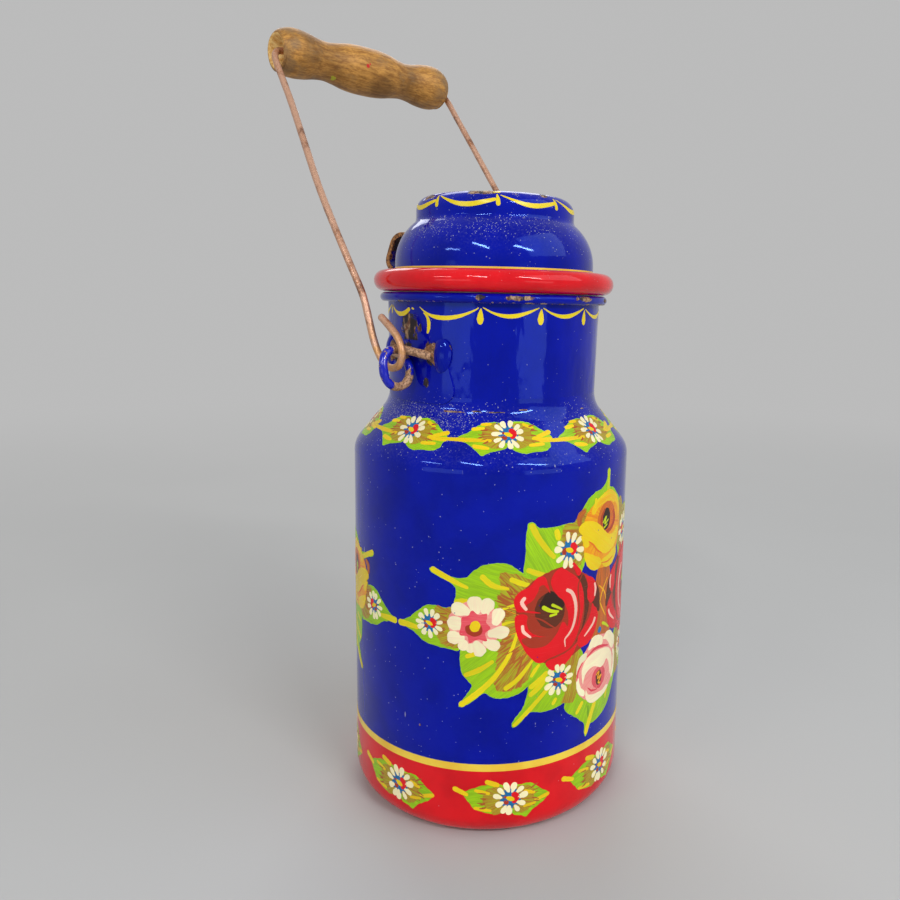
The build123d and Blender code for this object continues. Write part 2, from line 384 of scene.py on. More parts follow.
@dataclass(frozen=True)
class EnamelFinish:
    """Gloss vitreous enamel on sheet, with waves, dust, chips down to the iron and a pale inside."""

    name: str
    colour: Colour
    deep: Colour
    roughness: float = 0.05
    wave: float = 0.1
    runs: float = 1.0
    dust: float = 0.0
    dust_line: Point = (186.0, 14.0)
    dusty_side: Point = (-0.028, -0.05)
    glint: Colour = (1.0, 1.0, 1.0)
    chips: tuple[Chips, ...] = ()
    rubs: tuple[Rub, ...] = ()
    nicks: float = 0.0
    iron: float = 0.38
    inside: Colour | None = None
    middle: Place = (0.0, 0.0, 0.09)

    def material(self) -> bpy.types.Material:
        """Writes the node material.

        Returns:
            The material.
        """
        s = Surface(self.name, Metallic=0.0, IOR=1.5, Specular_IOR_Level=0.5, Specular_Tint=self.glint)
        runs = s.scaled(1.0, 1.0, self.runs)
        pool = s.noise(60.0, 3.0, 0.5, runs)
        ripple = s.noise(80.0, 2.5, 0.55, s.scaled(1.0, 1.0, self.runs * 0.7))
        relief = [
            (s.noise(22.0, 1.5, 0.45, runs), self.wave), (ripple, self.wave * 0.4), (s.noise(1500.0), 0.0018)]
        colour = s.mix(pool.step(0.35, 0.7), self.colour, self.deep)
        if self.inside:
            stain = s.noise(90.0, 5.0, 0.65).step(0.6, 0.75)
            colour = s.mix(s.inside(self.middle), colour, s.mix(stain * 0.45, self.inside, RUST))
        scuff = s.noise(700.0, 3.0, 0.7, s.scaled(1.0, 1.0, 0.12)).step(0.72, 0.78)
        scuff = scuff * s.noise(35.0).step(0.45, 0.6)
        roughness = s.blend(scuff * 0.5, s.blend(pool, self.roughness, self.roughness * 1.9), 0.4)
        colour = s.mix(scuff * 0.18, colour, DUST)
        if self.nicks:
            nick = reduce(or_, (s.specks(*specks) for specks in NICK_SPECKS))
            nick = nick | s.specks(330.0, 0.1, 0.09, s.scaled(1.0, 1.0, 0.22))
            colour, roughness = s.mix(nick * self.nicks, colour, DUST), s.blend(nick, roughness, 0.6)
        if self.dust:
            grey = self._dust(s) * self.dust
            colour, roughness = s.mix(grey, colour, DUST), s.blend(grey, roughness, 0.7)
        worn = (s.chipped(self.chips) if self.chips else []) + (s.rubbed(self.rubs) if self.rubs else [])
        if worn:
            bare = reduce(or_, worn)
            streaks = s.noise(300.0, 4.0, 0.6, s.scaled(1.0, 1.0, 0.4)).step(self.iron, self.iron + 0.16)
            brown = s.mix(s.noise(420.0, 4.0, 0.7).step(0.42, 0.6), RUST, TAN_METAL)
            colour = s.mix(bare, colour, s.mix(streaks, DARK_IRON, brown))
            roughness = s.blend(bare, roughness, 0.6)
            relief.append((1.0 - bare, 0.12))
        return s.finish(colour, roughness, *relief)

    def _dust(self, s: Surface) -> Value:
        """Masks dust: a line of grains in the lee of an edge, single grains and a thin film on what faces up.

        Args:
            s: The material that is being written.

        Returns:
            The mask.
        """
        lying = s.outs("ShaderNodeSeparateXYZ", s.normal)["Z"].step(-0.1, 0.6)
        middle, reach = (part * MM for part in self.dust_line)
        patchy = s.noise(26.0, 2.0, 0.6).step(0.36, 0.6) * 0.35 | s.x.step(*self.dusty_side)
        thick = s.z.near(middle, reach) * patchy * (lying * 0.85 + 0.15)
        chance = thick * 0.55 + (lying * 0.035 + 0.003)
        grains = s.specks(1900.0, 0.4, chance) | s.specks(1100.0, 0.24, chance * 0.6)
        film = (thick | lying * 0.4) * s.noise(900.0, 5.0, 0.7).step(0.45, 0.75)
        return grains * 0.75 | film * 0.16


def blue_enamel(name: str, **rest: object) -> EnamelFinish:
    """Gives the can's blue enamel with the rest of a finish's fields."""
    return EnamelFinish(name, ROYAL_BLUE, DEEP_BLUE, glint=BLUE_GLINT, **rest)


def red_enamel(name: str, **rest: object) -> EnamelFinish:
    """Gives the red enamel of the lid's roll and the base with the rest of a finish's fields."""
    return EnamelFinish(name, BRIGHT_RED, DEEP_RED, glint=RED_GLINT, **rest)


@dataclass(frozen=True)
class WireFinish:
    """Browned iron wire with light rust and one fleck of yellow paint."""

    name: str = "browned_iron_wire"
    colour: Colour = linear(206, 160, 132)
    dark: Colour = linear(112, 74, 58)
    rust: Colour = linear(176, 112, 66)
    hook_rust: Colour = linear(206, 150, 84)
    fleck: Spot = (-62.6, 59.4, 290.1, 0.9)
    hook_line: Point = (0.226, 0.21)

    def material(self) -> bpy.types.Material:
        """Writes the node material.

        Returns:
            The material.
        """
        s = Surface(self.name, Metallic=0.4, IOR=1.6)
        blotch, fine = s.noise(110.0, 5.0, 0.65), s.noise(1300.0, 4.0, 0.75)
        colour = s.mix(blotch.step(0.5, 0.68), self.colour, self.dark)
        colour = s.mix(fine.step(0.48, 0.62) * s.noise(55.0).step(0.42, 0.62), colour, self.rust)
        colour = s.mix(s.noise(2200.0, 3.0).step(0.56, 0.66) * 0.6, colour, self.dark)
        low = s.z.step(*self.hook_line) * s.noise(190.0, 4.0, 0.6).step(0.42, 0.58)
        colour = s.mix(low * 0.75, colour, self.hook_rust)
        colour = s.mix(s.spots(self.fleck), colour, Paint.YELLOW.value)
        return s.finish(colour, s.blend(fine, 0.24, 0.5), (blotch, 0.08), (fine, 0.06))


@dataclass(frozen=True)
class EyeFinish:
    """Thick blue paint on iron wire, worn through to brown metal where the bail rubs."""

    name: str
    paint: Colour = linear(10, 30, 190)
    worn: Colour = linear(190, 148, 112)
    dark: Colour = linear(104, 68, 46)
    leg_out: Point = (0.0625, 0.0585)
    leg_up: Point = (0.2055, 0.2075)
    foot_out: Point = (0.0565, 0.01)
    foot_up: Point = (0.2035, 0.1975)

    def material(self) -> bpy.types.Material:
        """Writes the node material.

        Returns:
            The material.
        """
        s = Surface(self.name, Metallic=0.0, IOR=1.5, Specular_IOR_Level=0.5)
        out = abs(s.x)
        leg = out.step(*self.leg_out) * s.z.step(*self.leg_up)
        foot = out.near(*self.foot_out) * s.z.step(*self.foot_up)
        edge = s.noise(260.0, 4.0, 0.7) + s.noise(900.0, 3.0) * 0.25
        bare = (edge + (leg | foot) * 0.4).step(0.74, 0.77)
        metal = s.mix(s.noise(1300.0, 4.0, 0.7).step(0.42, 0.62), self.worn, self.dark)
        colour = s.mix(bare, s.mix(s.noise(80.0), self.paint, ROYAL_BLUE), metal)
        relief = ((1.0 - bare, 0.3), (s.noise(300.0), 0.15), (s.noise(1500.0, 3.0), 0.02))
        return s.finish(colour, s.blend(bare, 0.12, 0.5), *relief)


@dataclass(frozen=True)
class RustFinish:
    """Flattened wire end, brown with rust."""

    name: str
    dark: Colour = linear(74, 44, 26)
    brown: Colour = linear(150, 100, 58)
    bright: Colour = linear(188, 150, 116)

    def material(self) -> bpy.types.Material:
        """Writes the node material.

        Returns:
            The material.
        """
        s = Surface(self.name, Metallic=0.15, IOR=1.6)
        blotch = s.noise(500.0, 5.0, 0.7)
        colour = s.mix(blotch.step(0.4, 0.6), self.dark, self.brown)
        colour = s.mix(s.noise(900.0, 3.0).step(0.58, 0.68), colour, self.bright)
        return s.finish(colour, s.blend(blotch, 0.45, 0.8), (blotch, 0.2), (s.noise(1600.0, 3.0), 0.05))


@dataclass(frozen=True)
class StrapFinish:
    """Sheet strap: blue enamel worn to brown metal along its edges and in spots, with black painted shade
    inside its bend.
    """

    name: str = "worn_strap_enamel"
    azimuth: float = 105.0
    half_width: float = 7.5
    bend_middle: Place = (-0.0124, 0.0464, 0.252)
    # Colour and lower height of the painted shade on the inner face of the strap's bend.
    painted_shade_height: float = 254.5
    soot: Colour = linear(8, 7, 12)
    bright: Colour = linear(170, 118, 66)
    brown: Colour = linear(92, 58, 34)
    worn: tuple[Spot, ...] = (
        (-21.6, 52.8, 251.9, 1.9), (-21.5, 52.3, 256.4, 1.7), (-21.4, 51.6, 258.6, 1.5),
        (-6.0, 57.0, 252.0, 1.9), (-9.0, 53.0, 263.0, 3.0))

    def material(self) -> bpy.types.Material:
        """Writes the node material.

        Returns:
            The material.
        """
        s = Surface(self.name, Metallic=0.0, IOR=1.5, Specular_IOR_Level=0.35)
        turn = math.radians(self.azimuth)
        across = abs(s.place.vector("DOT_PRODUCT", (-math.sin(turn), math.cos(turn), 0.0)))
        torn = s.noise(330.0, 4.0, 0.7) * (3.0 * MM) + across
        edge = torn.step((self.half_width + 0.55) * MM, (self.half_width + 0.95) * MM)
        # Painted shade: above this height the inner face of the bend is painted near-black, where shade falls
        # inside the strap.
        ragged = s.noise(200.0, 3.0) * (3.0 * MM) + s.z
        high = ragged.step((self.painted_shade_height + 1.0) * MM, (self.painted_shade_height + 2.4) * MM)
        painted_bend_shade = s.inside(self.bend_middle) * high
        paint = s.mix(painted_bend_shade, s.mix(s.noise(60.0), ROYAL_BLUE, DEEP_BLUE), self.soot)
        bare = edge | s.spots(*self.worn)
        metal = s.mix(s.noise(700.0, 4.0, 0.7).step(0.42, 0.62), self.bright, self.brown)
        roughness = s.blend(bare | painted_bend_shade * 0.8, 0.14, 0.6)
        return s.finish(s.mix(bare, paint, metal), roughness, (1.0 - bare, 0.12), (s.noise(120.0), 0.1))


@dataclass(frozen=True)
class WoodFinish:
    """Turned hardwood grip, darkened by handling, with paint flecks, a pale worn end and painted shade deep
    in its bore.
    """

    name: str = "handled_hardwood"
    light: Colour = linear(204, 148, 70)
    brown: Colour = linear(146, 96, 36)
    # The dark tone also serves as the painted shade deep in the bore.
    dark: Colour = linear(84, 54, 22)
    pale: Colour = linear(238, 202, 130)
    film: Colour = linear(124, 100, 70)
    red: Colour = linear(196, 26, 24)
    axis: Point = (105.88, 352.59)
    waist: Point = (0.0242, 0.012)
    bulb: Point = (0.037, 0.046)
    # Radii from the axis, in metres, over which the painted shade in the bore sets in.
    cup: Point = (0.0042, 0.0026)
    red_flecks: tuple[Spot, ...] = ((-5.7, 93.9, 352.2, 0.9), (-4.4, 93.9, 353.4, 0.5))
    green_flecks: tuple[Spot, ...] = (
        (-22.2, 102.0, 343.9, 1.1), (-21.4, 101.2, 344.2, 0.8), (-22.9, 101.0, 344.6, 0.8))

    def material(self) -> bpy.types.Material:
        """Writes the node material.

        Returns:
            The material.
        """
        s = Surface(self.name, Metallic=0.0, IOR=1.48, Specular_IOR_Level=0.35)
        grain = s.noise(620.0, 5.0, 0.66, s.scaled(0.16, 1.0, 1.0))
        fuzz = s.noise(1900.0, 4.0, 0.7, s.scaled(0.3, 1.0, 1.0))
        pores = s.noise(1500.0, 3.0, 0.6, s.scaled(0.07, 1.0, 1.0)).step(0.6, 0.7)
        tone = s.noise(42.0, 3.0, 0.55)
        middle, reach = self.waist
        waist = s.x.near(middle, reach) | s.x.near(-middle, reach)
        grey = s.noise(75.0, 4.0, 0.6).step(0.52, 0.66) * fuzz.step(0.42, 0.56)
        bulb = abs(s.x).step(*self.bulb) * s.noise(130.0, 4.0, 0.6).step(0.4, 0.62)
        colour = s.mix((grain * 0.6 + fuzz * 0.4).step(0.38, 0.62), self.brown, self.light)
        for mask, stain in (
                ((tone.step(0.46, 0.7) | waist * 0.55) * 0.6, self.dark), (grey * 0.6, self.film),
                (pores * 0.5, self.dark), (bulb * 0.6, self.film)):
            colour = s.mix(mask, colour, stain)
        # The mouths' inner faces: pale bare wood near each mouth, turning to painted shade deeper in the
        # bore.
        middle = (0.0, self.axis[0] * MM, self.axis[1] * MM)
        spoke = s.place.vector("SUBTRACT", middle).vector("MULTIPLY", (0.0, 1.0, 1.0))
        cup = s.normal.vector("DOT_PRODUCT", spoke.vector("NORMALIZE")).step(0.12, -0.1)
        deep = spoke.vector("LENGTH").step(*self.cup)
        bare = s.mix(grain.step(0.4, 0.62), self.light, self.pale)
        colour = s.mix(cup, colour, s.mix(deep, bare, self.dark))
        colour = s.mix(s.spots(*self.red_flecks), colour, self.red)
        colour = s.mix(s.spots(*self.green_flecks) * 0.55, colour, Paint.LIME.value)
        return s.finish(colour, s.blend(tone, 0.36, 0.62), (grain, 0.04), (fuzz, 0.03), (1.0 - pores, 0.07))


@dataclass(frozen=True)
class BrushFinish:
    """Hand-brushed enamel paint: the mark's own colours, streaked along the bristles, under a soft gloss."""

    name: str = "brushed_enamel_paint"

    def material(self) -> bpy.types.Material:
        """Writes the node material, once for all the decoration.

        Returns:
            The material.
        """
        if self.name in bpy.data.materials:
            return bpy.data.materials[self.name]
        s = Surface(self.name, Metallic=0.0, IOR=1.5, Specular_IOR_Level=0.28)
        paint, shade, bristle = (s.outs("ShaderNodeAttribute", attribute_name=layer) for layer in LAYERS)
        lines = s.noise(1.0, 4.0, 0.6, s.scaled(0.09, 3.1, 1.0, bristle["Vector"]))
        broad = s.noise(1.0, 2.0, 0.5, s.scaled(0.05, 0.55, 1.0, bristle["Vector"]))
        streak = (lines * 0.72 + broad * 0.28).step(0.42, 0.58) * shade["Alpha"]
        colour = s.mix(streak, paint["Color"], shade["Color"])
        bright = s.blend(s.noise(90.0, 3.0), 0.9, 1.1)
        tone = s.out("ShaderNodeHueSaturation", None, None, bright, None, colour)
        chipped = s.mix(s.specks(260.0, 0.1, 0.12) * 0.85, tone, DEEP_BLUE)
        return s.finish(chipped, s.blend(lines, 0.16, 0.34), (lines, 0.02))


@dataclass(frozen=True)
class StageFinish:
    """Plain pale floor that turns into the tone of the air with distance, so that no horizon shows."""

    name: str = "pale_floor"
    colour: Colour = (0.5, 0.5, 0.495)
    air: float = 0.5
    fade: Point = (0.35, 1.5)

    def material(self) -> bpy.types.Material:
        """Writes the node material.

        Returns:
            The material.
        """
        s = Surface(self.name, Metallic=0.0, Specular_IOR_Level=0.15)
        soft = s.noise(6.0)
        air = s.out("ShaderNodeEmission", (1.0, 1.0, 1.0), self.air)
        away = s.place.vector("LENGTH").step(*self.fade)
        joined = s.out("ShaderNodeMixShader", away, Value(s, s.shader.outputs[0]), air)
        s.feed(s.output.inputs[0], joined)
        dim = tuple(c * 0.97 for c in self.colour)
        return s.finish(s.mix(soft, self.colour, dim), s.blend(soft, 0.75, 0.85))


Finish = EnamelFinish | WireFinish | EyeFinish | RustFinish | StrapFinish | WoodFinish


# Studio


@dataclass(frozen=True)
class Lamp:
    """One rectangular lamp of the studio, in metres and watts."""

    name: str
    place: Place
    aim: Place
    size: Point
    power: float
    along: Place = (0.0, 0.0, 0.0)
    colour: Colour = (1.0, 1.0, 1.0)

    def build(self) -> None:
        """Makes the lamp, its long side laid along a direction where one is given."""
        data = bpy.data.lights.new(self.name, "AREA")
        data.shape = "RECTANGLE"
        data.size, data.size_y = self.size
        data.energy = self.power
        data.color = self.colour
        away = Vector(self.place) - Vector(self.aim)
        turn = away.to_track_quat("Z", "Y").to_matrix()
        if any(self.along):
            side = Vector(self.along).cross(away).normalized()
            turn = Matrix((side.cross(away).normalized() * -1, side * -1, away.normalized())).transposed()
        linked(self.name, data).matrix_world = Matrix.Translation(self.place) @ turn.to_4x4()


@dataclass
class Studio:
    """The pale floor, the soft lamps and the camera at the photograph's viewing angle."""

    floor_half: float = 6.0
    world_strength: float = 0.36
    camera_place: Place = (-0.25849514, -0.27720210, 0.23153016)
    camera_rows: tuple[Place, ...] = (
        (0.70745858, 0.09122489, -0.70084262),
        (-0.70642204, 0.12169917, -0.69724975),
        (0.02168543, 0.98836599, 0.15054040),
    )
    lens: float = 31.781739
    shift: Point = (-0.07944444, -0.03048741)
    lamps: tuple[Lamp, ...] = (
        Lamp("key_panel", (0.7, -1.7, 1.5), (0, 0, 0.12), (2.0, 1.6), 15.0, colour=(0.86, 0.93, 1.0)),
        Lamp("back_panel", (0.9, 1.4, 1.6), (0, 0, 0.15), (1.6, 1.2), 17.0),
        Lamp("left_wall", (-1.18, -0.2, 0.15), (0, 0, 0.2), (0.7, 0.27), 0.75, colour=(1.0, 0.96, 0.93)),
        Lamp("right_wall", (-0.04, -1.2, 0.15), (0, 0, 0.2), (0.6, 0.27), 0.7, colour=(1.0, 0.96, 0.93)),
        Lamp("left_tube", (-1.36, 0.06, 0.82), (0, 0, 0.23), (0.42, 0.05), 1.5, (0.0, -1.0, 0.06)),
        Lamp("middle_tube", (-1.08, -0.62, 1.07), (0, 0, 0.23), (0.55, 0.065), 5.8, (0.12, -0.48, -0.23)),
        Lamp("right_tube", (-0.18, -1.28, 0.98), (0, 0, 0.23), (0.6, 0.075), 7.0, (0.49, -0.23, -0.27)),
    )

    def build(self) -> None:
        """Makes the floor, lamps, world and camera."""
        self._floor()
        for lamp in self.lamps:
            lamp.build()
        self._world()
        self._camera()
        bpy.context.scene.view_settings.view_transform = "Standard"
        LOG.info("studio: %d lamps", len(self.lamps))

    def _floor(self) -> None:
        """Makes the flat floor."""
        mesh = bpy.data.meshes.new("studio_floor")
        half = self.floor_half
        corners = [(-half, -half, 0), (half, -half, 0), (half, half, 0), (-half, half, 0)]
        mesh.from_pydata(corners, [], [(0, 1, 2, 3)])
        mesh.materials.append(StageFinish().material())
        floor = linked("studio_floor", mesh)

    def _world(self) -> None:
        """Sets the plain surroundings, which the camera and reflections see in the tone of the air."""
        world = bpy.data.worlds.new("studio_air")
        world.use_nodes = True
        s = NodeWriter(world.node_tree)
        rays = s.outs("ShaderNodeLightPath")
        seen = reduce(or_, (rays[f"Is {kind} Ray"] for kind in ("Camera", "Glossy", "Transmission")))
        strength = seen * (StageFinish().air - self.world_strength) + self.world_strength
        s.add("ShaderNodeOutputWorld", s.out("ShaderNodeBackground", (1.0, 1.0, 1.0), strength))
        bpy.context.scene.world = world

    def _camera(self) -> None:
        """Sets the camera where the photograph was taken from."""
        data = bpy.data.cameras.new("photo_camera")
        data.sensor_width = 36.0
        data.lens = self.lens
        data.shift_x, data.shift_y = self.shift
        data.clip_start = 0.01
        camera = linked("photo_camera", data)
        camera.matrix_world = Matrix.Translation(self.camera_place) @ Matrix(self.camera_rows).to_4x4()
        bpy.context.scene.camera = camera


# Painted decoration


class Paint(Enum):
    """The brush colours of the decoration."""

    RED = linear(224, 20, 30)
    BRICK = linear(166, 54, 32)
    UMBER = linear(92, 44, 26)
    SOOT = linear(50, 28, 20)
    LEAF = linear(158, 206, 22)
    MOSS = linear(112, 158, 26)
    GLAZE = linear(170, 96, 40)
    OLIVE = linear(172, 176, 34)
    YELLOW = linear(234, 208, 20)
    GOLD = linear(242, 178, 18)
    ORANGE = linear(230, 112, 26)
    CREAM = linear(250, 241, 196)
    BLUSH = linear(248, 196, 176)
    PINK = linear(240, 140, 134)
    ROSE = linear(226, 66, 84)
    SKY = linear(24, 108, 166)
    LIME = linear(196, 214, 20)
    STRIPE = linear(246, 214, 72)


LAYER = 0.013
FIRST_LAYER = 0.03
SUNK = 0.12
RIDGE = 0.006
MARK_STEP = 0.75
FILL_STEP = 1.5
FOCUS_SPREAD = 16.0
CAP_STEPS = (0.08, 0.3, 0.65)
LAYERS = {
    "paint": ("FLOAT_COLOR", "color", 4), "shade": ("FLOAT_COLOR", "color", 4),
    "bristle": ("FLOAT_VECTOR", "vector", 3)}


@dataclass(frozen=True)
class Patch:
    """A filled patch of paint inside a rounded outline, given as x, y, x, y in millimetres."""

    paint: Paint
    outline: tuple[float, ...]
    level: float
    shade: Paint | None = None
    comb: float = 0.0
    grain: float = 0.0
    ragged: float = 0.12
    focus: Point | None = None


@dataclass(frozen=True)
class Stroke:
    """One pull of the brush along x, y, x, y in millimetres, with the widths it takes on the way."""

    paint: Paint
    path: tuple[float, ...]
    widths: tuple[float, ...]
    level: float
    shade: Paint | None = None
    comb: float = 0.35


Marks = tuple[Patch | Stroke, ...]


def numbers(text: str) -> tuple[float, ...]:
    """Reads numbers that are parted by blanks or commas."""
    return tuple(float(word) for word in text.replace(",", " ").split())


def stencil(text: str) -> Marks:
    """Reads marks that are written out as text.

    A mark is "PAINT level options: x,y x,y x,y / widths;" and a patch has no widths. A mark that says only
    what comes after the colon takes the rest from the one before it.

    Args:
        text: The marks.

    Returns:
        The patches and strokes in order.
    """
    marks, head = [], ""
    for mark in text.split(";")[:-1]:
        if ":" in mark:
            head, mark = mark.split(":")
        paint, level, *options = head.split()
        chosen = {}
        for name, value in (option.split("=") for option in options):
            if name == "shade":
                chosen[name] = Paint[value]
            else:
                chosen[name] = numbers(value) if name == "focus" else float(value)
        points, *widths = (numbers(part) for part in mark.split("/"))
        kind = Stroke if widths else Patch
        marks.append(kind(Paint[paint], points, *widths, float(level), **chosen))
    return tuple(marks)


@dataclass(frozen=True)
class Placing:
    """Where a flower's marks go on the sheet: scaled, shifted, and mirrored about a line if need be."""

    x: float = 0.0
    y: float = 0.0
    scale: float = 1.0
    mirror: float | None = None
    lift: float = 0.0

    def apply(self, flat: np.ndarray) -> np.ndarray:
        """Moves flat points.

        Args:
            flat: Rows of x, y.

        Returns:
            The moved rows.
        """
        moved = flat * self.scale + (self.x, self.y)
        if self.mirror is not None:
            moved[:, 0] = 2 * self.mirror - moved[:, 0]
        return moved

    def shifted(self, x: float, y: float) -> "Placing":
        """Gives this placing shifted."""
        return replace(self, x=self.x + x, y=self.y + y)


HERE = Placing()


def along(points: np.ndarray) -> np.ndarray:
    """Gives how far along a line of points each one lies."""
    return np.concatenate(([0.0], np.cumsum(np.linalg.norm(np.diff(points, axis=0), axis=1))))


def rounded(points: np.ndarray, closed: bool, step: float) -> np.ndarray:
    """Draws a smooth curve through points.

    Args:
        points: Rows of x, y or x, y, z.
        closed: Whether the curve runs back to its start.
        step: The spacing of the new points.

    Returns:
        Points along the curve, about a step apart.
    """
    if closed:
        row = [points[-1], *points, points[0], points[1]]
    else:
        row = [2 * points[0] - points[1], *points, 2 * points[-1] - points[-2]]
    curve = []
    for a, b, c, d in zip(row, row[1:], row[2:], row[3:]):
        spans = ((a, b), (b, c), (c, d))
        before, here, after = (max(float(np.linalg.norm(q - p)) ** 0.5, 1e-3) for p, q in spans)
        first = ((b - a) / before - (c - a) / (before + here) + (c - b) / here) * here
        last = ((c - b) / here - (d - b) / (here + after) + (d - c) / after) * here
        pieces = max(1, int(round(float(np.linalg.norm(c - b)) / step)))
        for t in np.arange(pieces) / pieces:
            ends = b * (2 * t**3 - 3 * t**2 + 1) + first * (t**3 - 2 * t**2 + t) + c * (3 * t**2 - 2 * t**3)
            curve.append(ends + last * (t**3 - t**2))
    if not closed:
        curve.append(points[-1])
    return np.array(curve)


def within(points: np.ndarray, outline: np.ndarray) -> np.ndarray:
    """Tells which points lie inside a closed outline.

    Args:
        points: Rows of x, y.
        outline: The outline's corners in order.

    Returns:
        A truth value for each point.
    """
    ax, ay = outline[:, 0], outline[:, 1]
    bx, by = np.roll(ax, -1), np.roll(ay, -1)
    px, py = points[:, :1], points[:, 1:]
    spans = (ay > py) != (by > py)
    with np.errstate(divide="ignore", invalid="ignore"):
        crossing = px < (bx - ax) * (py - ay) / (by - ay) + ax
    return (np.sum(spans & crossing, axis=1) % 2) == 1


def quads(rings: int, sides: int, closed: bool = False) -> Faces:
    """Gives the faces between rings of points.

    Args:
        rings: How many rings there are.
        sides: How many points each ring has.
        closed: Whether the last ring is joined to the first.

    Returns:
        Faces of four corners, ring after ring.
    """
    bands = [(k * sides, (k + 1) % rings * sides) for k in range(rings if closed else rings - 1)]
    nexts = [(i, (i + 1) % sides) for i in range(sides)]
    return [(low + i, low + j, high + j, high + i) for low, high in bands for i, j in nexts]


@dataclass
class Shape:
    """A mesh to be: its points in millimetres, its faces and which of them are shaded smooth."""

    points: np.ndarray
    faces: Faces
    smooth: list[bool]

    def mesh(self, name: str, unit: float = MM) -> bpy.types.Mesh:
        """Makes the mesh.

        Args:
            name: Its name.
            unit: What a millimetre is in it.

        Returns:
            The mesh.
        """
        mesh = bpy.data.meshes.new(name)
        mesh.from_pydata([tuple(p) for p in self.points * unit], [], self.faces)
        mesh.polygons.foreach_set("use_smooth", self.smooth)
        return mesh


def joined(shapes: Sequence[Shape]) -> Shape:
    """Joins shapes into one.

    Args:
        shapes: The shapes.

    Returns:
        The joined shape.
    """
    faces, size = [], 0
    for shape in shapes:
        faces += [tuple(size + v for v in face) for face in shape.faces]
        size += len(shape.points)
    smooth = sum((shape.smooth for shape in shapes), [])
    return Shape(np.vstack([shape.points for shape in shapes]), faces, smooth)


def settle(
        name: str, mesh: bpy.types.Mesh, material: bpy.types.Material, body: Body) -> bpy.types.Object:
    """Makes a finished piece of a mesh, whose flat parts stay flat up to their edges.

    Args:
        name: The piece's name.
        mesh: Its mesh in metres.
        material: Its material.
        body: The body that it rides on.

    Returns:
        The piece.
    """
    mesh.update()
    edges = np.empty(len(mesh.loops), np.int32)
    totals, smooth = np.empty(len(mesh.polygons), np.int32), np.empty(len(mesh.polygons), bool)
    mesh.loops.foreach_get("edge_index", edges)
    mesh.polygons.foreach_get("loop_total", totals)
    mesh.polygons.foreach_get("use_smooth", smooth)
    smooth_corners = np.bincount(edges, np.repeat(smooth, totals), len(mesh.edges))
    corners = np.bincount(edges, minlength=len(mesh.edges))
    mesh.edges.foreach_set("use_edge_sharp", (smooth_corners > 0) & (smooth_corners < corners))
    mesh.update()
    mesh.materials.append(material)
    piece = linked(name, mesh)
    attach(piece, body.value)
    LOG.info("%s: %d faces", name, len(mesh.polygons))
    return piece


@dataclass(frozen=True)
class TurnedWall:
    """A turned wall that paint is wrapped on, as its outline of (radius, height) from low to high."""

    outline: tuple[Point, ...]
    start: float
    width_radius: float
    heading: float

    def wrap(self, flat: np.ndarray) -> np.ndarray:
        """Wraps flat points on the wall.

        Args:
            flat: Rows of x along the wall, y up its outline and the lift off it.

        Returns:
            Rows of x, y, z.
        """
        line = np.array(self.outline)
        place = along(line) + self.start
        slopes = np.diff(line, axis=0) / np.diff(place)[:, None]
        middles = (place[:-1] + place[1:]) / 2
        x, y, lift = flat.T
        radius = np.interp(y, place, line[:, 0]) + np.interp(y, middles, slopes[:, 1]) * lift
        height = np.interp(y, place, line[:, 1]) - np.interp(y, middles, slopes[:, 0]) * lift
        angle = math.radians(self.heading) + x / self.width_radius
        return np.stack([radius * np.cos(angle), radius * np.sin(angle), height], 1)

    def pitch(self, count: int) -> float:
        """Gives the way along the unrolled wall from one of so many repeats to the next."""
        return FULL_TURN * self.width_radius / count


def arc(centre: Point, radius: float, start: float, stop: float, step: float = 2.0) -> tuple[Point, ...]:
    """Gives points along an arc, with its angles in degrees."""
    angles = np.radians(np.linspace(start, stop, max(2, int(abs(stop - start) / step) + 1)))
    return tuple((centre[0] + radius * math.cos(a), centre[1] + radius * math.sin(a)) for a in angles)


BODY_RADIUS = 65.0
NECK_FOOT = (48.4, 185.728)
CROWN_EDGE = (30.0, 271.278)
BODY_OUTLINE = (*arc((54.5, 10.5), 10.5, -85.0, 0.0), *arc((55.0, 162.0), 10.0, 0.0, 39.5), NECK_FOOT)
BODY_START = 10.5 - 10.5 * math.radians(85.0)
CREASE_OUTLINE = arc((62.497, 190.638), 14.0, 219.5, 178.9)
NECK_OUTLINE = (NECK_FOOT, (49.3, 234.128))
LID_OUTLINE = (
    (46.0, 241.0), *arc((22.514, 247.778), 23.486, 0.0, 50.0), *arc(CROWN_EDGE, 6.5, 0.0, 90.0), (4.0, 278.3))


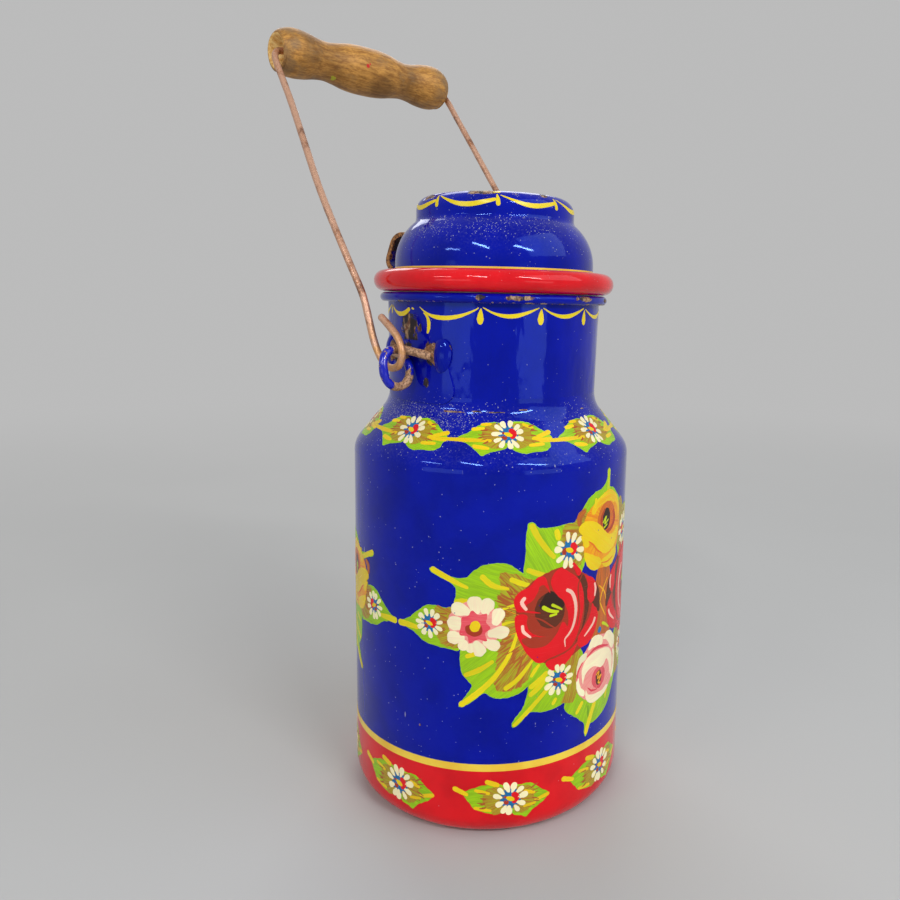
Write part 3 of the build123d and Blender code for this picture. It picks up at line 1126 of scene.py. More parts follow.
class PaintSheet:
    """Brush marks on an unrolled wall, each a closed thin shell, until they are wrapped on it."""

    def __init__(self, seed: int) -> None:
        """Starts an empty sheet.

        Args:
            seed: The seed of the brush's small wanderings.
        """
        self.random = np.random.default_rng(seed)
        self.points: list[np.ndarray] = []
        self.faces: Faces = []
        self.tops: list[bool] = []
        self.layers: dict[str, list[np.ndarray]] = {name: [] for name in LAYERS}
        self.size = 0

    def _shell(
            self, flat: np.ndarray, lift: np.ndarray, tops: Faces, rim: Faces, mark: Patch | Stroke,
            bristle: np.ndarray) -> None:
        """Adds one closed shell with its colours.

        Args:
            flat: Its points on the wall.
            lift: How far each stands off the wall.
            tops: The faces of its outer side.
            rim: The edges round it, with the paint on their left.
            mark: The mark that it is.
            bristle: Coordinates along and across the brush.
        """
        count, base = len(flat), self.size
        self.points += [np.column_stack([flat, lift]), np.column_stack([flat, np.full(count, -SUNK)])]
        for face in tops:
            self.faces.append(tuple(base + i for i in face))
            self.faces.append(tuple(base + count + i for i in reversed(face)))
            self.tops += [True, False]
        for a, b in rim:
            self.faces.append((base + a, base + count + a, base + count + b, base + b))
            self.tops.append(False)
        tone = 1.0 + self.random.normal(0.0, 0.04)
        paint = (*(min(c * tone, 1.0) for c in mark.paint.value), 1.0)
        self.layers["paint"].append(np.tile(paint, (2 * count, 1)))
        self.layers["shade"].append(np.tile((*(mark.shade or mark.paint).value, mark.comb), (2 * count, 1)))
        lines = np.column_stack([bristle + self.random.uniform(0, 500, 2), np.zeros(count)])
        self.layers["bristle"] += [lines, lines]
        self.size += 2 * count

    def patch(self, mark: Patch, at: Placing = HERE) -> None:
        """Paints a filled patch.

        Args:
            mark: The patch.
            at: Where its flower goes.
        """
        outline = rounded(at.apply(np.array(mark.outline, float).reshape(-1, 2)), True, MARK_STEP)
        ahead = np.roll(outline, -1, axis=0) - np.roll(outline, 1, axis=0)
        ahead /= np.maximum(np.linalg.norm(ahead, axis=1, keepdims=True), 1e-6)
        wander = self.random.normal(0.0, 1.0, len(outline))
        wander = (wander + np.roll(wander, 1)) * 0.5 * mark.ragged
        outline = outline + np.column_stack([ahead[:, 1], -ahead[:, 0]]) * wander[:, None]
        after = np.roll(outline, -1, axis=0)
        if np.sum(outline[:, 0] * after[:, 1] - after[:, 0] * outline[:, 1]) < 0:
            outline = outline[::-1]
        (left, low), (right, high) = outline.min(0), outline.max(0)
        rows = enumerate(np.arange(low + FILL_STEP / 2, high, FILL_STEP * 0.87))
        inner = [(x + FILL_STEP / 2 * (k % 2), y) for k, y in rows for x in np.arange(left, right, FILL_STEP)]
        inner = np.array(inner).reshape(-1, 2)
        inner = inner[within(inner, outline)]
        gaps = np.linalg.norm(inner[:, None] - outline[None], axis=2).min(1)
        flat = np.vstack([outline, inner[gaps > FILL_STEP * 0.5]])
        placed = delaunay_2d_cdt([Vector(p) for p in flat], [], [list(range(len(outline)))], 1, 1e-5)
        flat, faces = np.array([tuple(p) for p in placed[0]]), [tuple(f) for f in placed[2]]
        sides = {(a, b) for face in faces for a, b in zip(face, (*face[1:], face[0]))}
        rim = sorted(side for side in sides if side[::-1] not in sides)
        angle = math.radians(mark.grain) if at.mirror is None else math.pi - math.radians(mark.grain)
        cos, sin = math.cos(angle), math.sin(angle)
        bristle = flat @ np.array([[cos, -sin], [sin, cos]])
        if mark.focus:
            away = flat - at.apply(np.array([mark.focus], float))
            turn = np.unwrap(np.arctan2(away[:, 1], away[:, 0]))
            bristle = np.column_stack([np.linalg.norm(away, axis=1), turn * FOCUS_SPREAD])
        lift = np.full(len(flat), FIRST_LAYER + LAYER * (mark.level + at.lift))
        self._shell(flat, lift, faces, rim, mark, bristle)

    def stroke(self, mark: Stroke, at: Placing = HERE) -> None:
        """Paints one pull of the brush, thinner and rounded towards its ends.

        Args:
            mark: The stroke.
            at: Where its flower goes.
        """
        path = rounded(at.apply(np.array(mark.path, float).reshape(-1, 2)), False, MARK_STEP)
        runs = along(path)
        length = runs[-1]
        widths = np.array(mark.widths, float) * at.scale
        half = np.interp(runs / length, np.linspace(0, 1, len(widths)), widths) / 2
        caps = [min(end, length / 2) for end in (half[0], half[-1])]
        steps = [caps[0] * k for k in CAP_STEPS] + [length - caps[1] * k for k in CAP_STEPS]
        ends = np.array(sorted({0.0, length, *runs[1:-1], *steps}))
        middle = np.column_stack([np.interp(ends, runs, path[:, k]) for k in (0, 1)])
        half = np.interp(ends, runs, half)
        for gap, cap in zip((ends, length - ends), caps):
            near = np.clip(1 - gap / max(cap, 1e-6), 0, 1)
            half = half * np.sqrt(np.clip(1 - near**2, 0.02, 1))
        ahead = np.gradient(middle, axis=0)
        ahead /= np.maximum(np.linalg.norm(ahead, axis=1, keepdims=True), 1e-9)
        sway = half * (1 + self.random.normal(0, 0.03, len(half)))
        across = np.column_stack([-ahead[:, 1], ahead[:, 0]]) * sway[:, None]
        n = len(ends)
        top = FIRST_LAYER + LAYER * (mark.level + at.lift)
        tops, rim = [], []
        for i in range(n - 1):
            tops += [(2 * n + i, 2 * n + i + 1, n + i + 1, n + i), (n + i, n + i + 1, i + 1, i)]
            rim += [(2 * n + i, 2 * n + i + 1), (i + 1, i)]
        rim += [(3 * n - 1, 2 * n - 1), (2 * n - 1, n - 1), (0, n), (n, 2 * n)]
        bristle = np.column_stack([np.tile(ends, 3), np.concatenate([half, np.zeros(n), -half])])
        lift = np.repeat([top, top + RIDGE, top], n)
        self._shell(np.vstack([middle + across, middle, middle - across]), lift, tops, rim, mark, bristle)

    def marks(self, marks: Marks, at: Placing = HERE) -> None:
        """Paints marks in order."""
        for mark in marks:
            (self.patch if isinstance(mark, Patch) else self.stroke)(mark, at)

    def mesh(self, name: str, wall: TurnedWall | None = None) -> bpy.types.Mesh:
        """Makes a mesh of the marks.

        Args:
            name: The mesh's name.
            wall: The wall that it is wrapped on, or None for a flat one with a millimetre as its unit.

        Returns:
            The mesh.
        """
        points = np.vstack(self.points)
        if wall:
            mesh = Shape(wall.wrap(points), self.faces, self.tops).mesh(name)
        else:
            mesh = Shape(points, self.faces, self.tops).mesh(name, 1.0)
        for label, (kind, part, _) in LAYERS.items():
            values = np.vstack(self.layers[label]).astype(np.float32).ravel()
            mesh.attributes.new(label, kind, "POINT").data.foreach_set(part, values)
        return mesh

    def take(self, mesh: bpy.types.Mesh, at: Placing = HERE) -> None:
        """Adds the marks of a flat mesh that has the sheet's attributes.

        Args:
            mesh: The flat mesh.
            at: Where it goes.
        """
        count = len(mesh.vertices)
        points = np.empty(count * 3, np.float32)
        mesh.vertices.foreach_get("co", points)
        points = points.reshape(-1, 3).astype(float)
        lift = np.where(points[:, 2] > 0, points[:, 2] + LAYER * at.lift, points[:, 2])
        self.points.append(np.column_stack([at.apply(points[:, :2]), lift]))
        turn = 1 if at.mirror is None else -1
        self.faces += [tuple(self.size + v for v in tuple(p.vertices)[::turn]) for p in mesh.polygons]
        self.tops += [p.use_smooth for p in mesh.polygons]
        for label, (_, part, width) in LAYERS.items():
            values = np.empty(count * width, np.float32)
            mesh.attributes[label].data.foreach_get(part, values)
            self.layers[label].append(values.reshape(-1, width))
        self.size += count

    def hang(self, wall: TurnedWall, name: str, body: Body) -> None:
        """Wraps the marks on a wall as one finished piece of a body."""
        settle(name, self.mesh(name, wall), BrushFinish().material(), body)


# Repeats by geometry nodes


class RepeatTree(NodeWriter):
    """A geometry node tree that repeats the modified mesh, with named inputs and a fixed seed."""

    def __init__(self, name: str, **sizes: float) -> None:
        """Starts the tree and its interface.

        Args:
            name: The tree's name.
            sizes: Its named inputs and their defaults; whole numbers make integer inputs.
        """
        super().__init__(bpy.data.node_groups.new(name, "GeometryNodeTree"))
        face = self.tree.interface
        face.new_socket("Mark", in_out="INPUT", socket_type="NodeSocketGeometry")
        for label, value in sizes.items():
            kind = "NodeSocketInt" if isinstance(value, int) else "NodeSocketFloat"
            face.new_socket(label, in_out="INPUT", socket_type=kind).default_value = value
        face.new_socket("Paint", in_out="INPUT", socket_type="NodeSocketMaterial")
        face.new_socket("Marks", in_out="OUTPUT", socket_type="NodeSocketGeometry")
        self.given = self.outs("NodeGroupInput")

    def random(self, reach: Value, salt: float) -> Value:
        """Gives each repeat a random number between minus and plus a reach."""
        seed = self.given["Seed"] + salt
        return self.out(
            "FunctionNodeRandomValue", None, None, reach * -1.0, reach, output=1, data_type="FLOAT",
            Seed=seed)

    def close(self, places: Value, turn: Value) -> None:
        """Puts the mark at each place, makes it real and paints it.

        Args:
            places: The places.
            turn: How far each is turned, in radians.
        """
        length, breadth = (self.random(self.given["Unevenness"], salt) + 1.0 for salt in (11.0, 12.0))
        size = self.out("ShaderNodeCombineXYZ", length, breadth, 1.0)
        rotation = self.out("ShaderNodeCombineXYZ", 0.0, 0.0, turn)
        copies = self.out(
            "GeometryNodeInstanceOnPoints", places, None, self.given["Mark"], None, None, rotation, size)
        real = self.out("GeometryNodeRealizeInstances", copies)
        self.add("NodeGroupOutput", self.out("GeometryNodeSetMaterial", real, None, self.given["Paint"]))

    def run(self, sheet: PaintSheet, **values: float) -> bpy.types.Mesh:
        """Repeats a sheet's marks and gives the result as a plain mesh.

        Args:
            sheet: The marks to repeat.
            values: The tree's inputs.

        Returns:
            The repeated marks.
        """
        piece = linked("mark_to_repeat", sheet.mesh("mark_to_repeat"))
        modifier = piece.modifiers.new("repeat", "NODES")
        modifier.node_group = self.tree
        chosen = {"Paint": BrushFinish().material(), **values}
        for item in self.tree.interface.items_tree:
            if item.in_out == "INPUT" and item.name in chosen:
                modifier[item.identifier] = chosen[item.name]
        evaluated = piece.evaluated_get(bpy.context.evaluated_depsgraph_get())
        mesh = bpy.data.meshes.new_from_object(evaluated)
        bpy.data.objects.remove(piece)
        return mesh


class FanTree(RepeatTree):
    """Repeats a mark round a centre: petals, the strokes between them, and combed glaze."""

    def __init__(self) -> None:
        """Writes the tree."""
        super().__init__(
            "fan_of_marks", Count=11, Reach=3.0, Start=0.0, Sweep=FULL_TURN, Wander=0.1, Unevenness=0.1,
            Seed=1)
        given = self.given
        line = self.out("GeometryNodeMeshLine", given["Count"], None, (0.0, 0.0, 0.0), (0.0, 0.0, 0.0))
        index = self.out("GeometryNodeInputIndex")
        share = (index + 0.5 + self.random(given["Wander"], 1.0)) / given["Count"]
        angle = given["Start"] + share * given["Sweep"]
        reach = given["Reach"] + self.random(given["Reach"] * (given["Unevenness"] * 0.3), 2.0)
        lift = index.math("MODULO", 3.0) * 0.011
        across, up = angle.math("COSINE") * reach, angle.math("SINE") * reach
        place = self.out("ShaderNodeCombineXYZ", across, up, lift)
        places = self.out("GeometryNodeSetPosition", line, None, place)
        self.close(places, angle + self.random(given["Wander"] * 0.8, 3.0))


class BorderTree(RepeatTree):
    """Repeats a mark along the unrolled wall, an even pitch apart."""

    def __init__(self) -> None:
        """Writes the tree."""
        super().__init__(
            "border_of_marks", Count=8, Pitch=40.0, Wander=0.5, Turn=0.03, Unevenness=0.03, Seed=1)
        given = self.given
        pitch = self.out("ShaderNodeCombineXYZ", given["Pitch"], 0.0, 0.0)
        line = self.out("GeometryNodeMeshLine", given["Count"], None, (0.0, 0.0, 0.0), pitch)
        sideways, up = (self.random(given["Wander"], salt) for salt in (1.0, 2.0))
        drift = self.out("ShaderNodeCombineXYZ", sideways, up * 0.5, 0.0)
        places = self.out("GeometryNodeSetPosition", line, None, None, drift)
        self.close(places, self.random(given["Turn"], 3.0))


DAISY_WEDGE, DAISY_PETAL = stencil("""
    SKY 0: -0.34,0 0.16,0 / 0.34 0.2 0.1;
    CREAM 0.9 shade=STRIPE comb=0.15: -0.26,0 0.3,0.02 / 0.13 0.31 0.3;
""")
DAISY_MIDDLE = stencil("""
    SKY 0.6 ragged=0.25: -0.42,0 -0.2,0.42 0.3,0.4 0.46,-0.1 0.1,-0.46 -0.3,-0.36;
    BRICK 1.6: -0.2,0.16 -0.3,-0.06 -0.12,-0.32 / 0.22 0.34 0.2;
    RED 2.2: 0.1,0.34 0.32,0.08 0.16,-0.28 / 0.3 0.44 0.22;
    YELLOW 3 shade=GOLD: 0.05,0.13 -0.05,-0.13 / 0.44 0.56 0.44;
""")


@dataclass
class Brushes:
    """The trees that every flower uses."""

    fan: FanTree = field(default_factory=FanTree)
    border: BorderTree = field(default_factory=BorderTree)

    def comb(
            self, sheet: PaintSheet, at: Placing, paint: Paint, reach: float, length: float, start: float,
            stop: float, count: int, level: float, seed: int, width: float) -> None:
        """Combs thin strokes of glaze outward from a flower's centre.

        Args:
            sheet: The sheet to paint on.
            at: Where the centre is.
            paint: The glaze.
            reach, length: Where the strokes start and how long they are.
            start, stop: Their directions in degrees.
            count: How many.
            level: Their paint layer.
            seed: The seed of their unevenness.
            width: Their width.
        """
        one = PaintSheet(seed)
        path = (-length * 0.5, 0, 0, width * 0.2, length * 0.5, 0)
        one.stroke(Stroke(paint, path, (width * 0.7, width, width * 0.35), level, Paint.BRICK, 0.3))
        sheet.take(self.fan.run(
            one, Count=count, Reach=reach + length * 0.5, Start=math.radians(start),
            Sweep=math.radians(stop - start), Wander=0.4, Unevenness=0.3, Seed=seed), at)

    def daisy(
            self, sheet: PaintSheet, at: Placing, radius: float, petals: int, seed: int, level: float,
            turn: float) -> None:
        """Paints a small cream daisy with a blue, red and yellow middle.

        Args:
            sheet: The sheet to paint on.
            at: Where its centre is.
            radius: Its outer radius.
            petals: How many petals.
            seed: The seed of its unevenness.
            level: Its paint layer.
            turn: Where the first stroke between the petals points, in degrees.
        """
        grown, start = Placing(scale=radius, lift=level), math.radians(turn)
        wedge, petal = PaintSheet(seed), PaintSheet(seed + 1)
        wedge.stroke(DAISY_WEDGE, grown)
        petal.stroke(DAISY_PETAL, grown)
        sheet.take(self.fan.run(
            wedge, Count=petals, Reach=0.44 * radius, Start=start, Wander=0.15, Unevenness=0.15,
            Seed=seed), at)
        sheet.take(self.fan.run(
            petal, Count=petals, Reach=0.67 * radius, Start=start + math.pi / petals, Wander=0.16,
            Unevenness=0.18, Seed=seed + 3), at)
        sheet.marks(DAISY_MIDDLE, replace(at, scale=at.scale * radius, lift=at.lift + level))


# Flowers and borders


RED_ROSE = stencil("""
    BRICK 6: -42,104 -38,114 -30,119 -20,121 -9,116 0,108 0.5,98 -2,88 -10,82 -20,79 -30,80 -37,86 -41,95;
    UMBER 6.7: -15,119 -9.6,115.5 -6,108 -5.4,101 -7.4,94 -11,88 -13.5,85 -9.5,92 -8.4,102 -10.5,111; -1.6,111
    1.4,106 2.4,99.5 1.8,96 -3.4,100.8 -1.2,103.6 -0.4,107.5;
    BRICK 7.4: -38,103 -35,111 -28,113.5 -20,109 -17,101 -19,93 -26,90 -34,93;
    UMBER 8.1: -34,103 -31,109.5 -25,111 -20.5,106 -20,99 -24,95 -30,96;
    SOOT 8.8: -31.5,106 -29.5,110 -26.5,111.3 -23.5,109 -20.4,106 -20,103.6 -24,102.6 -28,103 -31.5,104.2;
    RED 7.4: -16,122 -11.5,116 / 1.6 3.2;
    RED 7.6: -9.6,116.2 -7.5,114.5 -5,113.7 -2.5,112 -0.8,109.1 -0.6,106.2 -1.7,103.2 -3.3,101.6 -5,102
    -6.5,104.1 -6.9,107 -6.9,110.7 -7.9,114.1; -3.3,101.2 -1.7,99.5 0.4,97 1.25,94.1 0.6,90.8 -0.8,87.4
    -3.3,84.5 -6.7,82.6 -10,82.6 -11.9,84.5 -11.9,87 -10.4,89.5 -7.5,92.4 -5,95.3 -3.8,98.3; -28.3,79.1
    -26.7,76.6 -23.3,75.1 -20.4,75.5 -17.9,77.2 -15,79.9 -12.9,82.8 -11.7,85.3 -15.8,83.3 -19.2,82 -23.3,81
    -27.1,80.3;
    RED 9.4 ragged=0.05: -33.7,117.4 -32,118.3 -29.6,117.9 -28.2,114.5 -27,110.4 -28.6,112.8 -30.2,114.4
    -32,113.8 -32.6,111.8 -33.8,109.6 -35.6,107.6 -37.6,106.4 -37.4,104.3 -34,103.2 -31.2,102.2 -35,102.6
    -38.5,103.4 -41.2,103.6 -42.6,105.8 -43.1,108.7 -41.9,111.2 -39.6,113 -37.1,113.9 -35.4,115.3; -42.3,101.6
    -42.5,99.1 -41.9,95.3 -40.8,92 -39.5,91 -34,91.2 -28.3,91.2 -31.7,92.1 -34.6,93.6 -36.5,95.6 -37.3,98.7
    -37.1,101.6 -39.6,102.6;
    BRICK 10: -39.2,91.6 -34,92 -28.3,91.2 -24.2,91.2 -22.9,92.8 -23,89 -28.3,86.2 -32.9,86 -36.7,86.6
    -38.8,88.9;
    RED 10.7 ragged=0.05: -22.5,120.8 -25,119.3 -26.5,117 -26.7,114.5 -25.4,111.4 -22.9,108.3 -20.4,106
    -19.2,103.7 -17.9,100.3 -17.5,97 -17.9,94.1 -19.4,96.2 -20.4,96.6 -21.7,94.9 -22.9,92.4 -25,89.9
    -27.5,87.8 -30.4,87 -35.8,87.4 -38.8,89.9 -39.8,91.6 -40.8,92 -39.2,88.7 -37.3,85.3 -35,82.4 -32.5,80.3
    -29.6,79.9 -27.5,81 -24.2,81.8 -20,82.6 -16.3,83.9 -14,86.2 -12.3,89.1 -10.8,92.8 -9.6,97 -9,101.2
    -9,105.3 -10,109.5 -11.9,113.3 -14.6,116.2 -17.9,118.5 -20.4,120.1;
    BLUSH 10.4: -38.1,109.9 -39.6,107.8 -38.7,105.8 -37.3,104.1 / 1.5 1.7 1.2;
    BLUSH 10.8: -39.2,97.8 -38.7,94.9 -37.1,93.3 -35.2,91.8 / 1.4 1.4 0.8;
    BLUSH 11.6: -19.2,110.8 -16.3,109.1 -14.4,105.8 -13.5,101.2 -14,96.2 -15.4,92.4 -17.5,89.9 -19,88.5
    -18.7,84.9 / 1.5 1.8 1.5 1.1 0.4;
    BLUSH 8.6: -2.1,110.3 -1.3,107.4 -1.7,103.9 / 1 1.3 0.8; -0.8,94.1 -2.1,91.6 -5,89.1 -7.9,87 / 1.5 1.2
    0.7;
    BRICK 11.3: -10.2,116.4 -12.4,112 -12.2,106 -11.5,100 -12.5,93 / 0.5 0.9 0.9 0.4;
    BRICK 9.2: -23.6,94 -27,96.5 -30.5,99 -35,101 / 0.5 0.8 0.4;
    LIME 10: -30.6,104.9 -26.7,102.6 -22.5,101.6 / 2 1.6 1;
    LIME 10.4: -26.3,105.3 -23.3,103.7 -20.8,102.2 / 1.4 1.2 0.7;
    LIME 10.6: -27.1,100.3 -23.3,100.8 / 1.2 1;
""")
YELLOW_ROSE = stencil("""
    GOLD 6 shade=ORANGE comb=0.8 focus=5,137: -11,134 -8,143 0,147 9,147 18,142 20,132 16,121 8,116 -2,117
    -9,124;
    GLAZE 6.5 shade=ORANGE comb=0.5: -13,137.5 -12.6,142 -9.6,144.2 / 1.6 3.2 2;
    YELLOW 6.9 shade=GOLD comb=0.9: -5.1,141.5 -2.8,145 4,147.6 8.5,147.8 13.1,145.6 16.2,142 17.6,137.4 / 2.8
    4 5 4.2 3;
    YELLOW 7.6: -3,148.5 -3.4,144 / 1.6 1.2;
    YELLOW 7.8 shade=GOLD comb=0.5: 2.2,149.2 8,149.6 13,147.2 / 1.2 2 1;
    BRICK 7.8 shade=ORANGE comb=0.5: 11.5,141 13,136.5 10,132.6 4.5,131.6 / 1.4 2.6 2.2 1;
    ORANGE 7.4 shade=GLAZE comb=0.8 grain=20 focus=5,137: -1.6,138 1,143.6 6,145.6 11,143.4 13.6,138 11,132.6
    6,130.4 0.6,132.8;
    GOLD 8.2 shade=ORANGE comb=0.5: 12.4,144 15.4,140.4 16.2,135.4 / 1.2 2.6 1.4;
    BRICK 8.4 shade=ORANGE comb=0.5: 1.4,134 1.6,139 4,142.6 / 0.8 1.8 0.8;
    SOOT 8.6: 2.4,137.6 3,141.2 5.2,142.8 7.8,141.2 8.6,137.4 7.2,133.6 4.4,132.8 2.8,134.6;
    LIME 9.4: 2.6,136.2 5.2,138.8 4.2,135.6 7.2,137.2 / 0.9 0.9 0.9 0.7;
    LIME 9.6: 3.4,133.8 6.4,135.2 / 0.9 0.7;
    YELLOW 8.8 shade=GOLD comb=0.35 grain=-30: -9.6,125.3 -6.9,124.4 -2.4,122.5 1.7,120.3 2.4,118 0.4,116.2
    -3.3,116 -6.5,118 -8.7,121.2;
    YELLOW 8.8 shade=GOLD comb=0.3 grain=-20: -11.9,133 -7.4,131.2 -6.9,128 -9.2,127.5 -10.5,129.8;
    YELLOW 8.8 shade=GOLD comb=0.35 grain=20: 3.1,119.4 7.6,120.5 12.2,122.1 15.8,122.5 16.7,119.8 14,116.6
    9.9,115 5.4,115.7 3.1,117.5;
    YELLOW 9.8 shade=GOLD comb=0.3 grain=-35: -13.3,135.7 -12.8,137.5 -10.1,139.1 -6,138.7 -2.4,137.5
    1.3,135.3 4.5,132.5 7.6,130.5 10.8,129.6 14,130.5 16.7,132.1 18.1,131.2 17.6,128 15.4,124.8 11.7,122.5
    6.7,121.9 2.2,122.8 -1.5,125.3 -4.6,128.5 -7.4,130.3 -10.5,133;
    ORANGE 10.6: -7.2,130 -4.2,128 -1.2,125 2.6,122.6 / 0.5 0.9 0.5;
    ORANGE 9.6: 2.6,118.2 8,117.6 13,118.8 / 0.4 0.7 0.4;
""")
PINK_ROSE = stencil("""
    PINK 6 shade=BLUSH comb=0.4 grain=30: -11.5,70 -8,78 0,84 10,83 18,78 20.5,69 18,60 11,55 3,53.5 -5,56
    -11,62;
    CREAM 7: -11.3,75 -10.4,77.3 -8.1,78.6 -5.8,78.6 -6.3,75.9 -9,74.5 -10.8,71.8 -11.7,70 -11.9,72.4;
    CREAM 7 shade=BLUSH comb=0.3 grain=60: -4.9,79.5 -3.5,83.2 -0.8,85 2.8,84.5 6,82.5 6,79.5 4.2,78.6
    1.5,79.3 -1.7,79.8;
    CREAM 7 shade=BLUSH comb=0.3 grain=-40: 6.5,81.4 9.6,83.6 13.3,83.2 16.5,80.9 19.2,78.2 19.6,75 17.4,73.2
    15.1,74.1 12.4,77.3 9.6,80;
    CREAM 7: -11.7,64.5 -10.8,61.8 -9,59.5 -6.7,58.6 -6.5,60.9 -8.5,62.7 -9.9,65.5 -10.4,68.2 -11.5,68.2;
    CREAM 7 shade=BLUSH comb=0.3 grain=80: 17.6,72.4 20.4,70.6 21,66.4 20.2,61.6 17.6,58.4 16.6,60.4 18.6,64.6
    18.4,69.2;
    ROSE 7.8: -5.5,76.6 0,78.8 6,78.2 12,76.4 / 0.5 1.5 1.3 0.5; -11.5,67 -10.8,71.5 -8.3,75 / 0.5 1.1 0.6;
    CREAM 8.2 shade=BLUSH comb=0.35 grain=10 ragged=0.05: -7.6,64.5 -8.5,68.2 -8.5,71.8 -6.7,75 -3.5,76.6
    1,77.3 6,77 10.5,75.9 14.2,73.6 16.5,70.5 17.4,66.4 16.9,62.7 15.5,60.9 14.2,64.5 12.8,68.2 10.5,70.5
    7.8,68.6 5.1,68.2 2.8,69.3 0.1,70.5 -3.1,70.5 -5.8,69.1 -7.2,66.4;
    ROSE 7.6 shade=PINK comb=0.4 grain=60: -1.6,64 -0.4,67.6 3.2,69.2 7.4,68 9.6,64.6 8.6,60.6 4.8,58.6
    0.8,60;
    UMBER 8.4: 1.6,63 2,66.4 4,67.4 6,65.4 6,61.8 4,60.2 2.2,61;
    GOLD 9.2 shade=ORANGE comb=0.4: 1.6,65.6 4,66.6 3,63.6 6,64.4 3.6,61.4 5.6,60.8 / 0.9 0.9 0.9 0.8;
    CREAM 8.2 shade=BLUSH comb=0.3 grain=5 ragged=0.05: -5.4,60.9 -4,58.6 -0.8,57.3 3.3,56.8 7.4,56.4
    11.5,57.3 13.3,56.4 9.6,54.1 4.2,53.2 -0.8,53.2 -4,55 -5.8,58.2;
    ROSE 8: -4.4,61.8 -1.4,59.4 3,58.6 / 0.4 1 0.5;
    LIME 6: 5,89.5 8,88 11.5,85.5 / 1.5 1.3 0.7;
""")
SIDE_LEAVES = stencil("""
    LEAF 0 shade=MOSS comb=0.5 grain=5: -94.5,94.5 -90,97 -87,99.5 -84,102 -81,104.5 -77,105.3 -72,104.8
    -66,105 -62,97 -66,86.5 -70,86.8 -76,87.3 -82,88.8 -86,91.5 -90,92.8;
    LEAF 0.6 shade=MOSS comb=0.5 grain=-15: -78.5,119.6 -79,121 -75,120.5 -70,118.7 -66,118.2 -63,118.6
    -60,121.5 -56,124 -50,125 -45,124.3 -41,121.5 -35,117 -34,110 -44,100 -56,99 -64,101 -68,106 -67.5,110
    -67.5,113.5 -70,116;
    LEAF 1.2 shade=MOSS comb=0.5 grain=40: -65,87 -65.2,81 -64.3,76.5 -62,73.5 -60,71.3 -61.5,68.5 -65.5,61.5
    -62.5,62.3 -58,65.5 -54.5,68 -51,66 -47,65.5 -42,66.5 -38,68.5 -34,73 -30,82 -34,94 -44,100 -56,98 -63,93;
    LEAF 0 shade=MOSS comb=0.6 grain=-60: -39,119 -38.5,128 -38.5,135 -37.4,141.5 -35.5,141.8 -33,139.5
    -27,139 -20,139.8 -14.5,139.4 -8,135 -8,124 -14,113 -28,111 -36,114;
    LEAF 0.6 shade=MOSS comb=0.5 grain=50: -36,79 -36,70 -36.5,66 -38.5,60 -43,53.5 -42.5,52 -40,53 -35,58
    -30,57.3 -24,57.5 -19,59 -15,61 -9,66 -7,76 -14,86 -24,88 -33,86;
""")
MIDDLE_LEAVES = stencil("""
    LEAF 0 shade=MOSS comb=0.5 grain=70: -13.3,142 -11,145.3 -7.8,148.9 -3.3,151.2 1.3,152.3 4,154.4 5.1,156.2
    6.3,160.7 7.2,155 7.6,152.3 11.3,150.7 14.9,148 18.6,144.8 23,141 20,128 4,122 -10,130;
    LIME 1.6: 6.3,160.3 6.3,151.2 5.5,147 / 2.4 2.2 1.8;
    LEAF 0 shade=MOSS comb=0.6 grain=60: -18,57 -17.5,55 -14,51.8 -11.3,50 -8.1,47.3 -5.8,45 -5.6,40.5
    -4.5,38.4 -3.1,40 -1.7,43.2 1.5,43.4 6,44.3 11.5,46.4 15.5,49.5 18.7,53.6 21.9,58.2 23.7,62.7 24,70 14,76
    0,76 -12,70 -17,64;
    MOSS 1: -3.6,53 -3,46 / 0.8 1.4 0.5;
    YELLOW 1.8 shade=LIME: -4.7,39.5 -2.6,45 -0.4,49.5 1.7,53.2 / 2.4 3 2.6; -11.3,51.4 -9.2,54 -7.2,56.4 /
    1.6 2.2 1.8; 10.8,50.9 11.6,55 11.5,58 / 1.6 2.2 2;
    GLAZE 2.4 shade=ORANGE comb=0.7 grain=85: -4,86 -2,100 -1,112 2,118 8,118 11,112 12,100 14,86 10,82 0,82;
    GOLD 4.4: 1.5,108 6,104 8.5,98 / 0.5 0.7 0.4;
    GOLD 4.9: 8.5,110 4.5,105 1.8,98 / 0.5 0.7 0.4;
    GOLD 4.4: 1.8,101 5,96 8,92 / 0.5 0.7 0.4;
    SKY 4.6: 1.6,86.2 3,88.4 4.8,87 3.4,85.4;
""")
LEAF_GLAZE = stencil("""
    GLAZE 2.2 shade=OLIVE comb=1 ragged=0.45 focus=-22,96: -49,121 -44.5,120.8 -40,119.2 -35,117 -33,108
    -35,98 -42,97 -48.4,99 -50,106 -49.2,114;
    GLAZE 2.8 shade=OLIVE comb=1 ragged=0.4 focus=-24,104: -46,101 -48,92 -49.6,84 -50.4,76 -50,69.6
    -45.6,68.4 -41,69.6 -37,72.4 -34,80 -33,90 -36,101;
    GLAZE 1.4 shade=OLIVE comb=1 ragged=0.4 focus=-59,97: -76,104.4 -71,104.8 -66,105 -63,96 -66,88 -71.4,88
    -75,91 -76.2,97;
    GLAZE 1.6 shade=OLIVE comb=1 ragged=0.4 focus=6,134: -20.6,139.4 -15,140.2 -13.6,143 -10,145 -7,140 -8,130
    -11,121 -17,119 -21.4,126 -22,134;
    GLAZE 2.4 shade=OLIVE comb=1 grain=75 ragged=0.4: -19.6,60 -14,58 -10,64 -9,76 -12,82 -19,80 -17,72
    -16.6,66;
""")
